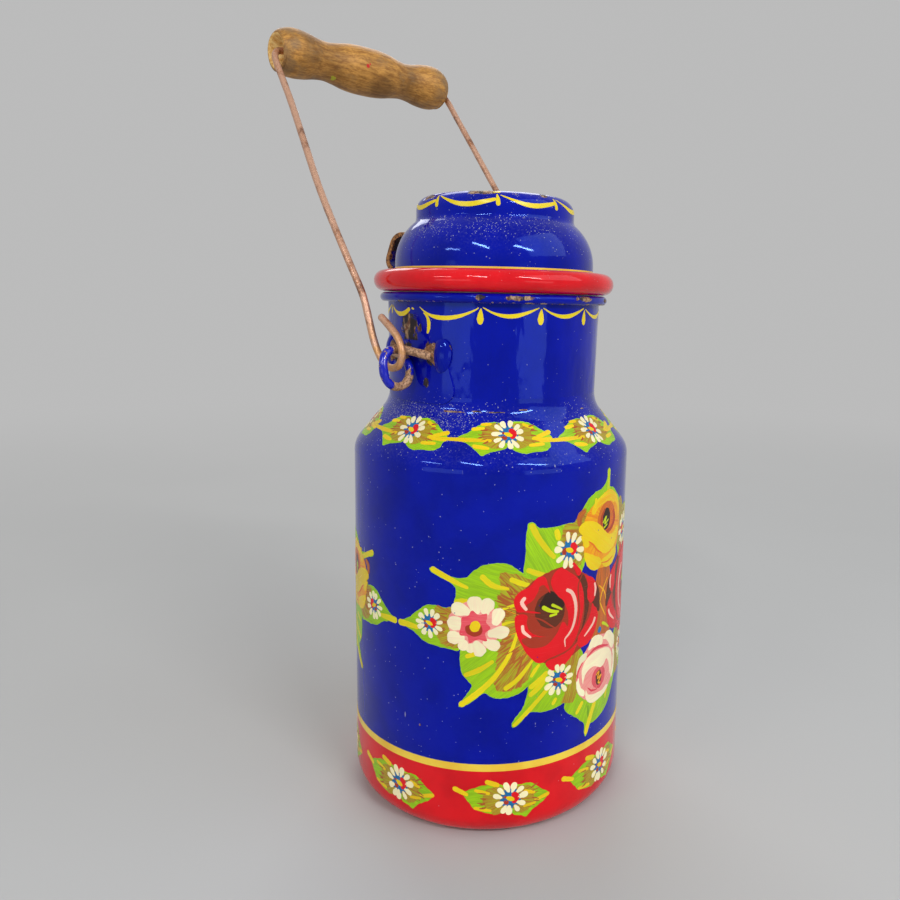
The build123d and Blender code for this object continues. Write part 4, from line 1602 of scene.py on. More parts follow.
LEAF_VEINS = stencil("""
    YELLOW 5 shade=LIME comb=0.5: -95,94.3 -90,94.4 -84,94 / 3 2.6 1.8; -78.5,121.2 -68,116.5 -62,114 / 2.6
    2.4 1.4; -57,119.8 -52,115.5 -45,113.8 / 2.6 2.4 1.2; -45,118.2 -40,116 -36,114.7 / 2.2 2.4 1.8; -68,107.5
    -65,108.4 -62,108.5 / 1.6 2.2 1.8; -65.3,61.8 -57,68.5 -50,76 -44,86 -41,95 / 2.6 2.6 2.2 1.8 1.3;
    -63.5,75.5 -57,78.5 -51,82.5 / 2 2.4 1.5; -46.5,69.5 -41,73.5 -34,82 / 2.2 2 1.2; -63,84 -60,85 -57,86 /
    1.8 2 1.4; -48,105 -43,106.6 -38,106.8 / 1 1.4 0.6; -36.5,141.3 -33,135 -28,128.5 -25,125.5 / 2.8 2.6 2.4
    2; -25,138 -24,135 -23.5,133 / 2.4 2.8 2.2; -38,121.8 -32,119.3 -28,118.2 / 2.2 2.4 1.8; -50,97 -46,99
    -42,99.6 / 0.8 1.4 0.6; -42.3,52.5 -36,58.5 -30,64.5 -26,68.5 / 1.6 2 2 1.8; -35.5,65.5 -30,70 -28,73 /
    2.2 2.5 2; -35.5,69 -31,72 -27,75.5 / 2.2 2.6 2; -35,74 -33,77 -31,79.5 / 1.4 1.8 1.2; -24.5,59.5 -23.4,61
    -22.5,62.5 / 1.4 1.8 1.2;
""")
SHOULDER_LEAVES = stencil("""
    LEAF 0 shade=MOSS comb=0.6 grain=10: -22,-2 -17,1.2 -13,4.5 -9.5,5.7 -4,5.8 0,2 -1,-6 -4,-7.6 -8,-8.6
    -11,-10 -13,-8 -17,-4.5;
    LEAF 0.5 shade=MOSS comb=0.6 grain=-10: 1,5 4,6.4 8,6.2 12,4.5 15,2 18.4,-0.5 19.4,-2.4 18,-4.6 17,-7.2
    15,-8.5 10,-8.9 5,-9.2 1,-7;
""")
SHOULDER_STALKS = stencil("""
    YELLOW 2.8 shade=GOLD comb=0.5: -31,-2.3 -7,-2.8 / 1.2 2 1.4; -16,2.6 -10,3.2 / 1.6 1.8 1.2; -15,-5.4
    -8,-6.6 / 1.6 2 1.2; -12,5 -7,5.2 / 1.2 1.6 1.2; 19.6,0.6 10,-2.6 / 2.2 2 1.2; 19.4,-3 11,-3 / 1.8 1.6
    1.2; 7,5 12,2.6 / 1.4 1.6 1; 8,-5.6 15,-5.2 / 1.4 1.8 1.4;
""")
BASE_LEAVES = stencil("""
    LEAF 0.6 shade=MOSS comb=0.6 grain=10: -22,2.4 -20,3.2 -16,5 -12,6.5 -5,7 0,3 -1,-6 -5,-7 -9,-7 -13,-6
    -16,-4.5 -18,-2 -20.6,1;
    LEAF 1.1 shade=MOSS comb=0.6 grain=-10: 1,6 5,6.4 9,6.5 12,4.5 15,2 18,-0.2 15.6,-3.5 13,-5 10,-7 7.5,-9.5
    5,-8.6 1,-7;
""")
BASE_STALKS = stencil("""
    YELLOW 2.8 shade=GOLD comb=0.5: -25.5,4.2 -18.5,1.4 / 2.4 2.2 1.6; -11.4,8.4 -5,6.4 / 2 2.4 1.8; -16,4
    -9,2.6 / 1.4 1.8 1.2; -16,-4.4 -8,-5.6 / 1.4 1.8 1.2; 18.4,-0.4 11,-2.4 / 1.8 1.8 1.2; 6,3 11.4,1.4 / 1.6
    1.8 1.2; 6,-4.4 12,-3.4 / 1.2 1.4 1;
""")
NECK_SWAG = stencil("""
    YELLOW 1 shade=STRIPE: 0.8,4 5,1.9 10,0.7 15,0.9 20,2.3 25,4.3 / 0.35 0.9 1.6 1.7 1.2 0.4;
    YELLOW 1.8 shade=STRIPE: 0.1,3.6 -0.1,1.4 -0.2,-1.4 -0.1,-3 / 0.3 2 2.9 1.6;
""")
NECK_EXTRA = stencil("""
    YELLOW 1 shade=STRIPE: -74.2,228.4 -71,226.3 -67,224.7 -61,224.1 -54,225.2 -47.6,227.8 -46.4,228.7 / 0.3
    0.8 1.8 1.9 1.6 1 0.4;
    YELLOW 1.8 shade=STRIPE: -72,226 -70.2,224.7 -69.2,222.4 -69.2,219.6 -69.9,217.3 / 0.4 1.2 1.8 1.7 0.9;
    YELLOW 1 shade=STRIPE: -96.4,228.9 -93,226.5 -89,225.2 -84.4,225.6 -80.4,227.6 / 0.4 1 1.9 2.1 1.6;
    -79.2,227.9 -77.6,227.3 / 0.9 0.6;
    YELLOW 1.8 shade=STRIPE: -97,228.6 -97.6,225.2 / 0.5 1.3 0.8;
""")
CROWN_SWAG = stencil("""
    YELLOW 1 shade=STRIPE: 0.9,3.4 6,1.2 11.5,-0.5 17,-0.8 22.5,0.1 27.9,1.4 / 0.4 1.1 1.9 2.1 1.9 1.4;
    YELLOW 1.8 shade=STRIPE: -0.6,3.8 -0.2,1.2 0,-1.6 / 0.5 1.7 2;
""")
CROWN_EXTRA = stencil("""
    YELLOW 1 shade=STRIPE: -31.2,278 -27.6,278.2 / 1.1 1.5;
""")
CREAM_DAISY_BACK = stencil("""
    PINK 6 shade=BLUSH comb=0.4: -11,1 -8,8 0,11 8,8 11.5,1 8.5,-7 1,-11 -7,-8;
""")
CREAM_DAISY_MIDDLE = stencil("""
    ROSE 8.5 shade=PINK comb=0.3: -5.5,0.5 -5,4 -2.5,4.6 -1,7 2,5.2 5.4,5.6 5,2 6.8,-0.5 4.6,-3 5.4,-6
    1.2,-5.6 -1.6,-7.4 -3,-4.4 -6,-4;
    BRICK 9.2: -3.6,-0.2 -3,-3 -0.2,-4.4 2.8,-3.4 3.4,-0.4 0,1;
    YELLOW 10 shade=GOLD comb=0.4: 1.4,2.4 -0.6,-2.2 / 3.6 4.4 3.8;
""")
CREAM_PETAL = np.array(
    ((0.0, 0.2), (0.35, 0.42), (0.7, 0.56), (0.97, 0.4), (1.08, 0.05), (0.95, -0.42), (0.65, -0.55),
     (0.3, -0.4), (0.0, -0.22)))
BORDER_GLAZE = np.array(
    ((0.3, 0.62), (1.1, 0.72), (1.5, 0.5), (1.6, -0.1), (1.4, -0.62), (0.9, -0.92), (0.3, -0.7)))


@dataclass
class CreamDaisy:
    """The large cream daisy with a pink middle; each petal is a line of x, y, x, y and a width."""

    x: float = -59.4
    y: float = 97.5
    petals: tuple[tuple[float, ...], ...] = (
        (0.8, 5.5, -0.1, 12.7, 5.6), (4.1, 5.5, 6.2, 11.8, 5.4), (8.4, 1, 10.9, 7.5, 5.0),
        (5.9, -3, 14.1, -2.2, 5.0), (3.9, -6, 10.1, -9.2, 4.5), (0.6, -6.5, 3.4, -12.3, 5.0),
        (-1.1, -7.5, -0.6, -11.2, 5.0),
        (-3.1, -6.5, -5.6, -10.3, 4.0), (-4.1, -5, -10.9, -5.5, 5.5), (-2.6, 0.5, -10.9, 1.1, 5.5),
        (-1.9, 6, -9.1, 8, 5.5))

    def paint(self, sheet: PaintSheet, at: Placing) -> None:
        """Paints the daisy.

        Args:
            sheet: The sheet to paint on.
            at: Where its spray goes.
        """
        here = at.shifted(self.x, self.y)
        sheet.marks(CREAM_DAISY_BACK, here)
        for k, (x0, y0, x1, y1, width) in enumerate(self.petals):
            run = np.array((x1 - x0, y1 - y0))
            side = np.array((-run[1], run[0])) / np.linalg.norm(run) * width
            outline = (x0, y0) + CREAM_PETAL @ np.array((run, side))
            grain = math.degrees(math.atan2(run[1], run[0]))
            level = 6.9 + 0.6 * (k % 3)
            mark = Patch(Paint.CREAM, tuple(outline.ravel()), level, Paint.BLUSH, 0.3, grain, 0.15)
            sheet.patch(mark, here)
        sheet.marks(CREAM_DAISY_MIDDLE, here)


@dataclass(frozen=True)
class Glaze:
    """One colour of combed glaze, and how its strokes differ from what a comb states."""

    paint: Paint
    inset: float
    longer: float
    share: float
    level: float
    seed: int
    width: float


@dataclass
class Leaves:
    """The leaves of a spray, with their veins and combed glaze.

    Each comb is the x and y of its centre, where its strokes start and how long they are, the first and last
    of their directions in degrees, and their count.
    """

    combs: tuple[tuple[float, ...], ...] = (
        (-24, 98, 22.5, 5, 140, 168, 16), (-24, 102, 23, 6, 200, 238, 18),
        (-59.4, 97.5, 12.5, 3.5, 160, 200, 8))
    glazes: tuple[Glaze, ...] = (
        Glaze(Paint.GLAZE, 0.0, 1.0, 1.0, 3.4, 40, 0.8), Glaze(Paint.GOLD, 8.0, 1.4, 0.4, 3.9, 80, 0.3))

    def paint(self, sheet: PaintSheet, brushes: Brushes, sides: Sequence[Placing]) -> None:
        """Paints the leaves under the flowers.

        Args:
            sheet: The sheet to paint on.
            brushes: The repeating trees.
            sides: The left half's placing and the mirrored right half's.
        """
        for side in sides:
            sheet.marks(SIDE_LEAVES, side)
        sheet.marks(MIDDLE_LEAVES)
        for n, side in enumerate(sides):
            sheet.marks(LEAF_GLAZE, side)
            for k, (x, y, reach, length, start, stop, count) in enumerate(self.combs):
                for glaze in self.glazes:
                    brushes.comb(
                        sheet, side.shifted(x, y), glaze.paint, reach - glaze.inset, length * glaze.longer,
                        start, stop, int(count * glaze.share), glaze.level, glaze.seed + 10 * n + k,
                        glaze.width)
            sheet.marks(LEAF_VEINS, side)


@dataclass
class RoseSpray:
    """One spray of roses, daisies and leaves on the side of the can, the same on both sides of its middle.

    Each small daisy is its x, y and radius, its count of petals and its turn in degrees.
    """

    name: str
    heading: float
    seed: int
    gold_flower: Placing | None = None
    middle: float = 5.0
    daisies: tuple[tuple[float, ...], ...] = (
        (-79, 97, 6.6, 11, 12), (-18, 128, 8.2, 10, 30), (-21.5, 70.5, 7.6, 11, 5))
    daisy_level: float = 6.6

    def build(self, brushes: Brushes) -> None:
        """Paints the spray and hangs it on the body.

        Args:
            brushes: The repeating trees.
        """
        sheet = PaintSheet(self.seed)
        sides = (HERE, Placing(mirror=self.middle))
        Leaves().paint(sheet, brushes, sides)
        for n, side in enumerate(sides):
            if n and self.gold_flower:
                sheet.marks(YELLOW_ROSE, self.gold_flower)
            else:
                CreamDaisy().paint(sheet, side)
            sheet.marks(RED_ROSE, side)
            for k, (x, y, radius, petals, turn) in enumerate(self.daisies):
                seed = self.seed * 10 + 7 * k + 31 * n
                brushes.daisy(sheet, side.shifted(x, y), radius, petals, seed, self.daisy_level, turn)
        sheet.marks(YELLOW_ROSE)
        sheet.marks(PINK_ROSE)
        sheet.hang(TurnedWall(BODY_OUTLINE, BODY_START, BODY_RADIUS, self.heading), self.name, Body.CAN)


@dataclass
class FlowerBorder:
    """A ring of daisies, each between two leaves, round a turned wall.

    Each combed leaf is the first and last direction of its strokes in degrees and the paint layer under them.
    """

    name: str
    wall: TurnedWall
    centre: Point
    radius: float
    leaves: Marks
    stalks: Marks
    seed: int
    lift: float = 0.0
    count: int = 8
    combed: tuple[tuple[float, ...], ...] = ((158, 206, 1.4), (-30, 26, 1.9))
    comb_reach: float = 1.3
    comb_length: float = 0.4
    comb_strokes: int = 6
    comb_level: float = 2.2
    comb_width: float = 0.7
    petals: int = 11
    daisy_level: float = 4.0
    daisy_turn: float = 8.0

    def build(self, brushes: Brushes) -> None:
        """Paints one motif, repeats it round the wall and hangs the ring.

        Args:
            brushes: The repeating trees.
        """
        motif = PaintSheet(self.seed)
        motif.marks(self.leaves)
        reach, length = self.radius * self.comb_reach, self.radius * self.comb_length
        for k, (start, stop, level) in enumerate(self.combed):
            glaze = BORDER_GLAZE * (math.cos(math.radians(start)), 1.0) * self.radius
            motif.patch(Patch(
                Paint.GLAZE, tuple(glaze.ravel()), level, Paint.OLIVE, comb=1.0, ragged=0.35, focus=(0, 0)))
            brushes.comb(
                motif, HERE, Paint.GLAZE, reach, length, start, stop, self.comb_strokes, self.comb_level,
                self.seed + k, self.comb_width)
        motif.marks(self.stalks)
        brushes.daisy(
            motif, HERE, self.radius, self.petals, self.seed + 9, self.daisy_level, self.daisy_turn)
        ring = PaintSheet(self.seed + 20)
        mesh = brushes.border.run(motif, Count=self.count, Pitch=self.wall.pitch(self.count), Seed=self.seed)
        ring.take(mesh, Placing(*self.centre, lift=self.lift))
        ring.hang(self.wall, self.name, Body.CAN)


@dataclass
class SwagBorder:
    """A ring of hanging yellow swags with a drop between each two, and single ones where it is uneven."""

    name: str
    wall: TurnedWall
    centre: Point
    count: int
    motif: Marks
    extra: Marks
    body: Body
    seed: int
    skipped: int = 0
    wander: float = 0.35
    turn: float = 0.012
    unevenness: float = 0.02

    def build(self, brushes: Brushes) -> None:
        """Paints one swag and drop, repeats them round the wall and hangs the ring.

        Args:
            brushes: The repeating trees.
        """
        motif, ring = PaintSheet(self.seed), PaintSheet(self.seed + 20)
        motif.marks(self.motif)
        mesh = brushes.border.run(
            motif, Count=self.count - self.skipped, Pitch=self.wall.pitch(self.count), Wander=self.wander,
            Turn=self.turn, Unevenness=self.unevenness, Seed=self.seed)
        ring.take(mesh, Placing(*self.centre))
        ring.marks(self.extra)
        ring.hang(self.wall, self.name, self.body)


@dataclass
class TurnedBand:
    """A thin band of paint all round a turned wall."""

    name: str
    wall: TurnedWall
    low: float
    high: float
    lift: float
    finish: EnamelFinish
    slot: Slot | None
    body: Body
    wave: float = 0.0
    pitch: float = 1.5
    steps: int = 300

    def build(self) -> None:
        """Lays the band as one closed ring."""
        rows = np.linspace(self.low, self.high, max(2, int((self.high - self.low) / self.pitch) + 1))
        section = [(y, self.lift) for y in rows] + [(y, -SUNK) for y in rows[::-1]]
        flat = []
        for t in np.arange(self.steps) / self.steps:
            sway = self.wave * (math.sin(FULL_TURN * t + 0.6) + 0.35 * math.sin(3 * FULL_TURN * t))
            flat += [(FULL_TURN * self.wall.width_radius * t, y + sway, lift) for y, lift in section]
        faces = [(a, d, c, b) for a, b, c, d in quads(self.steps, len(section), True)]
        smooth = [i < len(rows) - 1 for _ in range(self.steps) for i in range(len(section))]
        mesh = Shape(self.wall.wrap(np.array(flat)), faces, smooth).mesh(self.name)
        settle(self.name, mesh, self.finish.material(), self.body)


@dataclass
class Decoration:
    """All the painted work on the can and its lid."""

    front_heading: float = -86.0
    back_heading: float = 97.0
    shoulder_heading: float = -86.6
    shoulder_radius: float = 57.0
    neck_radius: float = 49.0
    crown_radius: float = 36.5
    stripe: EnamelFinish = EnamelFinish(
        "yellow_stripe_enamel", Paint.STRIPE.value, linear(238, 190, 52), roughness=0.14, wave=0.05)
    base_red: EnamelFinish = red_enamel(
        "red_band_enamel", wave=0.16, nicks=0.5, chips=(Chips(1.2, 1.6, 0.14),))

    def build(self) -> None:
        """Paints the bands, sprays and borders."""
        brushes = Brushes()
        body = TurnedWall(BODY_OUTLINE, BODY_START, BODY_RADIUS, self.front_heading)
        shoulder = TurnedWall(BODY_OUTLINE, BODY_START, self.shoulder_radius, self.shoulder_heading)
        neck = TurnedWall(NECK_OUTLINE, NECK_FOOT[1], self.neck_radius, self.front_heading)
        lid = TurnedWall(LID_OUTLINE, LID_OUTLINE[0][1], LID_OUTLINE[0][0], 0.0)
        crown = TurnedWall(LID_OUTLINE, self._crown_start(), self.crown_radius, self.front_heading)
        for band in (
                TurnedBand("red_base_band", body, -4.6, 34.0, 0.05, self.base_red, Slot.RED, Body.CAN),
                TurnedBand("yellow_base_stripe", body, 32.4, 35.7, 0.08, self.stripe, None, Body.CAN, 0.45),
                TurnedBand("yellow_lid_stripe", lid, 243.6, 245.7, 0.1, self.stripe, None, Body.LID, 0.1)):
            band.build()
        for work in (
                RoseSpray("front_rose_spray", self.front_heading, 3),
                RoseSpray("back_rose_spray", self.back_heading, 5, Placing(-62.0, -14.0, 0.9, 5.0)),
                FlowerBorder(
                    "shoulder_flower_border", shoulder, (-39.5, 180.0), 7.4, SHOULDER_LEAVES,
                    SHOULDER_STALKS, 11),
                FlowerBorder(
                    "base_flower_border", body, (-43.0, 19.0), 8.0, BASE_LEAVES, BASE_STALKS, 12, 5.0),
                SwagBorder(
                    "neck_swag_border", neck, (-45.8, 224.9), 12, NECK_SWAG, NECK_EXTRA, Body.CAN, 13, 2),
                SwagBorder(
                    "crown_swag_border", crown, (-57.6, 272.6), 8, CROWN_SWAG, CROWN_EXTRA, Body.LID, 14)):
            work.build(brushes)

    def _crown_start(self) -> float:
        """Finds the lid outline's start for which y is the true height on the crown's wall.

        Returns:
            The start in millimetres.
        """
        line = np.array(LID_OUTLINE)
        wall = int(np.argmin(np.abs(line[:, 1] - CROWN_EDGE[1])))
        return float(line[wall, 1] - along(line)[wall])


# Sub-assemblies


def dress(node: str, finish: Finish) -> None:
    """Gives a CAD node that stays as it is its finish.

    Args:
        node: The CAD node's name.
        finish: Its finish.
    """
    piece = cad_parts[node]
    piece.data.materials.clear()
    piece.data.materials.append(finish.material())
    LOG.info("%s: %s", node, finish.name)


@dataclass(frozen=True)
class Rod:
    """A bent round wire through points in millimetres, slightly uneven as hand-bent wire is."""

    points: tuple[Place, ...]
    radius: float
    lumps: float
    seed: int
    sides: int = 16
    step: float = 0.7
    lump_pitch: float = 2.5
    end_taper: float = 0.82
    tip_taper: float = 0.3

    def shape(self) -> Shape:
        """Sweeps the wire, its ends rounded off in two steps.

        Returns:
            Its closed shape.
        """
        path = rounded(np.array(self.points, float), False, self.step)
        runs = along(path)
        random = np.random.default_rng(self.seed)
        knots = np.arange(0, runs[-1] + 3.0, self.lump_pitch)
        radius = self.radius * (1 + self.lumps * np.interp(runs, knots, random.uniform(-1, 1, len(knots))))
        radius[[0, -1]] *= self.end_taper
        radius = np.concatenate(([radius[1] * self.tip_taper], radius, [radius[-2] * self.tip_taper]))
        ahead = np.gradient(path, axis=0)
        ahead = np.vstack([ahead[0], ahead, ahead[-1]])
        ahead /= np.linalg.norm(ahead, axis=1, keepdims=True)
        side = np.cross(ahead[0], (0.0, 1.0, 0.3))
        turn = (np.arange(self.sides) / self.sides * FULL_TURN)[:, None]
        rings = []
        for centre, way, size in zip(np.vstack([path[0], path, path[-1]]), ahead, radius):
            side = side - way * np.dot(side, way)
            side /= np.linalg.norm(side)
            rings.append(centre + size * (np.cos(turn) * side + np.sin(turn) * np.cross(way, side)))
        n, m = self.sides, len(rings)
        faces = [*quads(m, n), tuple(range(n - 1, -1, -1)), tuple(range((m - 1) * n, m * n))]
        smooth = [0 < k < m - 2 for k in range(m - 1) for _ in range(n)]
        return Shape(np.vstack(rings), faces, [*smooth, False, False])


@dataclass(frozen=True)
class Lump:
    """A low raised lump on a turned wall, inside a rounded outline given as x, y, x, y in millimetres."""

    outline: tuple[float, ...]
    height: float
    edge: float
    rough: float = 0.0
    swell: float = 0.6
    base: float = -1.3
    rings: int = 9
    gather: float = 0.8
    step: float = 0.7

    def shape(self, wall: TurnedWall, mirror: bool) -> Shape:
        """Raises the lump.

        Args:
            wall: The wall that it stands on.
            mirror: Whether it is the mirror image about the wall's heading.

        Returns:
            Its closed shape.
        """
        rim = rounded(np.array(self.outline, float).reshape(-1, 2), True, self.step)
        middle, n = rim.mean(0), len(rim)
        random = np.random.default_rng(n)
        flat = [np.column_stack([rim, np.full(n, self.base)])]
        for share in np.linspace(1.0, 1.0 / self.rings, self.rings) ** self.gather:
            rise = self.height * (1 - share**self.edge) ** self.swell
            rough = self.rough * random.uniform(-1, 1, n) * (share < 1)
            flat.append(np.column_stack([middle + (rim - middle) * share, rise + rough]))
        points = np.vstack([*flat, (*middle, self.height), (*middle, self.base)])
        points[:, 0] *= -1 if mirror else 1
        top = self.rings * n
        faces = quads(self.rings + 1, n)
        faces += [(top + i, top + (i + 1) % n, top + n) for i in range(n)]
        faces += [((i + 1) % n, i, top + n + 1) for i in range(n)]
        if mirror:
            faces = [face[::-1] for face in faces]
        return Shape(wall.wrap(points), faces, [n <= k < top + n for k in range(len(faces))])


@dataclass
class CanBody:
    """The sheet can: straight wall, sloping shoulder, neck and rolled mouth."""

    crease_height: float = 186.0
    crease_length: float = 9.92
    crease_radius: float = 50.0
    body_rubs: tuple[Rub, ...] = (
        Rub(-152.0, 184.6, 7.5, 0.5), Rub(-141.0, 185.1, 3.5, 0.4), Rub(-131.0, 184.9, 4.0, 0.4),
        Rub(40.0, 184.8, 9.0, 0.8), Rub(-159.5, 49.8, 0.7, 0.9), Rub(70.0, 60.0, 1.2, 1.6))
    neck_rubs: tuple[Rub, ...] = (
        Rub(179.2, 219.8, 8.4, 8.0), Rub(-176.0, 214.6, 2.6, 4.0), Rub(-172.5, 219.5, 1.4, 2.2),
        Rub(2.0, 219.0, 7.0, 7.0))
    crease_rubs: tuple[Rub, ...] = (
        Rub(-152.0, 185.1, 7.5, 0.45), Rub(-141.0, 185.6, 3.5, 0.35), Rub(-131.0, 185.4, 4.0, 0.35),
        Rub(-118.0, 186.4, 3.0, 0.4), Rub(40.0, 185.4, 9.0, 0.7))
    bead_rubs: tuple[Rub, ...] = (
        Rub(-139.2, 232.8, 2.8, 1.3), Rub(-121.5, 232.8, 9.0, 1.2), Rub(-85.0, 233.0, 8.0, 1.4),
        Rub(-60.0, 232.6, 5.0, 1.2), Rub(30.0, 232.6, 10.0, 1.3), Rub(120.0, 232.6, 8.0, 1.4))

    def build(self) -> None:
        """Dresses the CAD nodes of the can and lays the fillet in its crease."""
        crease = self.crease_height
        dress("body_shell", blue_enamel(
            "body_enamel", wave=0.4, dust=1.0, nicks=0.8, inside=INSIDE_WHITE,
            chips=(Chips(crease - 0.6, 1.6, 0.1),), rubs=self.body_rubs))
        dress("neck_collar", blue_enamel(
            "neck_enamel", wave=1.8, runs=0.6, iron=0.47, dust=0.4, dust_line=(crease, 8.0), nicks=0.8,
            # The chipped ring at 230.4 mm, right under the mouth bead, is partly real chipping and grime and
            # partly painted shade under the bead.
            inside=INSIDE_WHITE, chips=(Chips(crease + 0.3, 1.2, 0.1), Chips(230.4, 0.9, 0.14)),
            rubs=self.neck_rubs))
        fillet = blue_enamel(
            "crease_enamel", wave=0.4, dust=0.8, nicks=0.5, chips=(Chips(crease - 0.8, 0.9, 0.1),),
            rubs=self.crease_rubs)
        wall = TurnedWall(CREASE_OUTLINE, 0.0, self.crease_radius, 0.0)
        TurnedBand(
            "crease_fillet", wall, 0.0, self.crease_length, 0.03, fillet, Slot.BLUE, Body.CAN,
            pitch=0.7).build()
        dress("mouth_bead", blue_enamel(
            "bead_enamel", wave=0.05, chips=(Chips(230.8, 1.0, 0.2),), rubs=self.bead_rubs))


@dataclass
class Ears:
    """The saddle plates and the wire eyes, whose flattened ends lie under lumps of enamel."""

    eye: tuple[Place, ...] = (
        (48.0, -13.2, 207.8), (50.2, -9.6, 208.7), (53.6, -4.9, 209.9), (57.5, -2.4, 210.4),
        (61.6, -2.1, 209.9), (64.6, -2.7, 207.2), (65.6, -3.7, 202.6), (64.6, -4.2, 198.2),
        (61.4, -4.3, 195.4), (57.9, -4.2, 194.8), (54.4, -4.1, 196.1), (52.4, -3.9, 199.2),
        (52.0, -3.0, 203.2), (52.0, -0.4, 206.2), (51.3, 3.5, 207.4), (50.1, 8.5, 208.1), (48.2, 13.2, 208.2))
    eye_radius: float = 1.85
    tail: Lump = Lump(numbers(
        "9.9,211 12.8,212.9 15,213.6 16.6,211.4 15.9,208.6 17.2,205.2 16.6,203.2 13.4,205.4 "
        "10.4,207.4 9.4,209"),
        0.9, 7.0, 0.1)
    boss: Lump = Lump(numbers(
        "14.4,207.6 14.8,211.6 16.8,214.8 19.8,215.2 22.2,213 22.9,209.6 22.4,205.6 20.4,202.2 "
        "17.4,201 15.2,203.4"),
        1.9, 2.4, 0.03, 0.95)
    plate_rubs: tuple[Rub, ...] = (
        Rub(1.0, 212.0, 4.0, 2.0), Rub(-12.0, 196.4, 2.4, 2.2), Rub(-14.5, 209.0, 4.4, 6.0),
        Rub(14.5, 208.0, 4.0, 5.0))
    lump_rub: Rub = Rub(-26.8, 213.5, 1.4, 3.6)
    wall_outline: tuple[Point, ...] = ((49.55, 185.0), (50.05, 234.0))
    wall_radius: float = 49.8

    def build(self) -> None:
        """Builds and dresses both ears."""
        self._ear("near", 180.0, -1)
        self._ear("far", 0.0, 1)

    def _ear(self, side: str, heading: float, sign: int) -> None:
        """Builds and dresses one ear.

        Args:
            side: Its name.
            heading: Its azimuth in degrees.
            sign: 1 where it is on the side of +X, -1 on the other.
        """
        spots = (*self.plate_rubs, self.lump_rub)
        rubs = tuple(replace(rub, azimuth=heading + rub.azimuth * sign) for rub in spots)
        plate = blue_enamel(f"plate_{side}_enamel", wave=0.1, rubs=rubs[:-1], dust=0.4, nicks=0.7, iron=0.47)
        dress(f"ear_plate_{side}", plate)
        path = tuple((sign * x, y, z) for x, y, z in self.eye)
        mesh = Rod(path, self.eye_radius, 0.07, 21).shape().mesh(f"worn_eye_{side}")
        paint = EyeFinish(f"worn_eye_paint_{side}").material()
        eye = settle(f"worn_eye_{side}", mesh, paint, Body.CAN)
        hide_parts(f"ear_ring_{side}")
        wall = TurnedWall(self.wall_outline, self.wall_outline[0][1], self.wall_radius, heading)
        lumps = blue_enamel(f"lump_{side}_enamel", wave=0.9, rubs=rubs[-1:], nicks=0.8)
        for name, lump, finish, slot in (
                (f"eye_ends_{side}", self.tail, RustFinish(f"rusty_wire_end_{side}"), Slot.PAINTED_WIRE),
                (f"ear_lumps_{side}", self.boss, lumps, Slot.BLUE)):
            pair = joined([lump.shape(wall, mirror) for mirror in (False, True)])
            settle(name, pair.mesh(name), finish.material(), Body.CAN)


@dataclass
class Bail:
    """The swinging wire and its turned grip, the wire given upright as x, across and up from its pivot."""

    lean: float = 36.5
    pivot_height: float = 209.5
    radius: float = 1.6
    hook: tuple[Place, ...] = (
        (58.7, -2.2, 16.4), (58.5, -4.6, 9.8), (58.3, -6.4, 2.8), (58.3, -6.0, -2.4), (58.4, -3.9, -5.9),
        (58.6, 0.0, -7.4), (58.9, 4.0, -5.8), (59.0, 7.0, -2.0), (59.2, 8.0, 4.0), (59.4, 7.2, 11.0),
        (59.6, 4.6, 20.0), (59.8, 2.0, 30.0))
    near_side: tuple[Place, ...] = (
        (60.8, 0.6, 46.0), (61.2, 0.0, 66.0), (60.5, 0.0, 90.0), (58.3, 0.0, 116.0), (56.1, 0.0, 142.0))
    far_side: tuple[Place, ...] = (
        (59.6, 0.6, 46.0), (59.3, 0.0, 66.0), (58.6, 0.0, 90.0), (57.5, 0.0, 116.0), (56.2, 0.0, 142.0))
    top: tuple[Place, ...] = (
        (55.3, 0.0, 158.0), (54.9, 0.0, 167.0), (54.4, 0.0, 171.0), (53.2, 0.0, 174.5), (51.0, 0.0, 177.0),
        (47.6, 0.0, 178.0), (40.0, 0.0, 178.0))

    def build(self) -> None:
        """Builds the wire and its grip."""
        near = [(-x, across, up) for x, across, up in (*self.hook, *self.near_side, *self.top)]
        far = (*self.hook, *self.far_side, *self.top)
        path = tuple(self._leant(*point) for point in (*near, *reversed(far)))
        mesh = Rod(path, self.radius, 0.03, 31).shape().mesh("bail_rod")
        wire = settle("bail_rod", mesh, WireFinish().material(), Body.BAIL)
        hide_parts("bail_wire")
        Grip().build()

    def _leant(self, x: float, across: float, up: float) -> Place:
        """Leans an upright point of the bail to its rest."""
        cos, sin = math.cos(math.radians(self.lean)), math.sin(math.radians(self.lean))
        return x, across * cos + up * sin, self.pivot_height + up * cos - across * sin


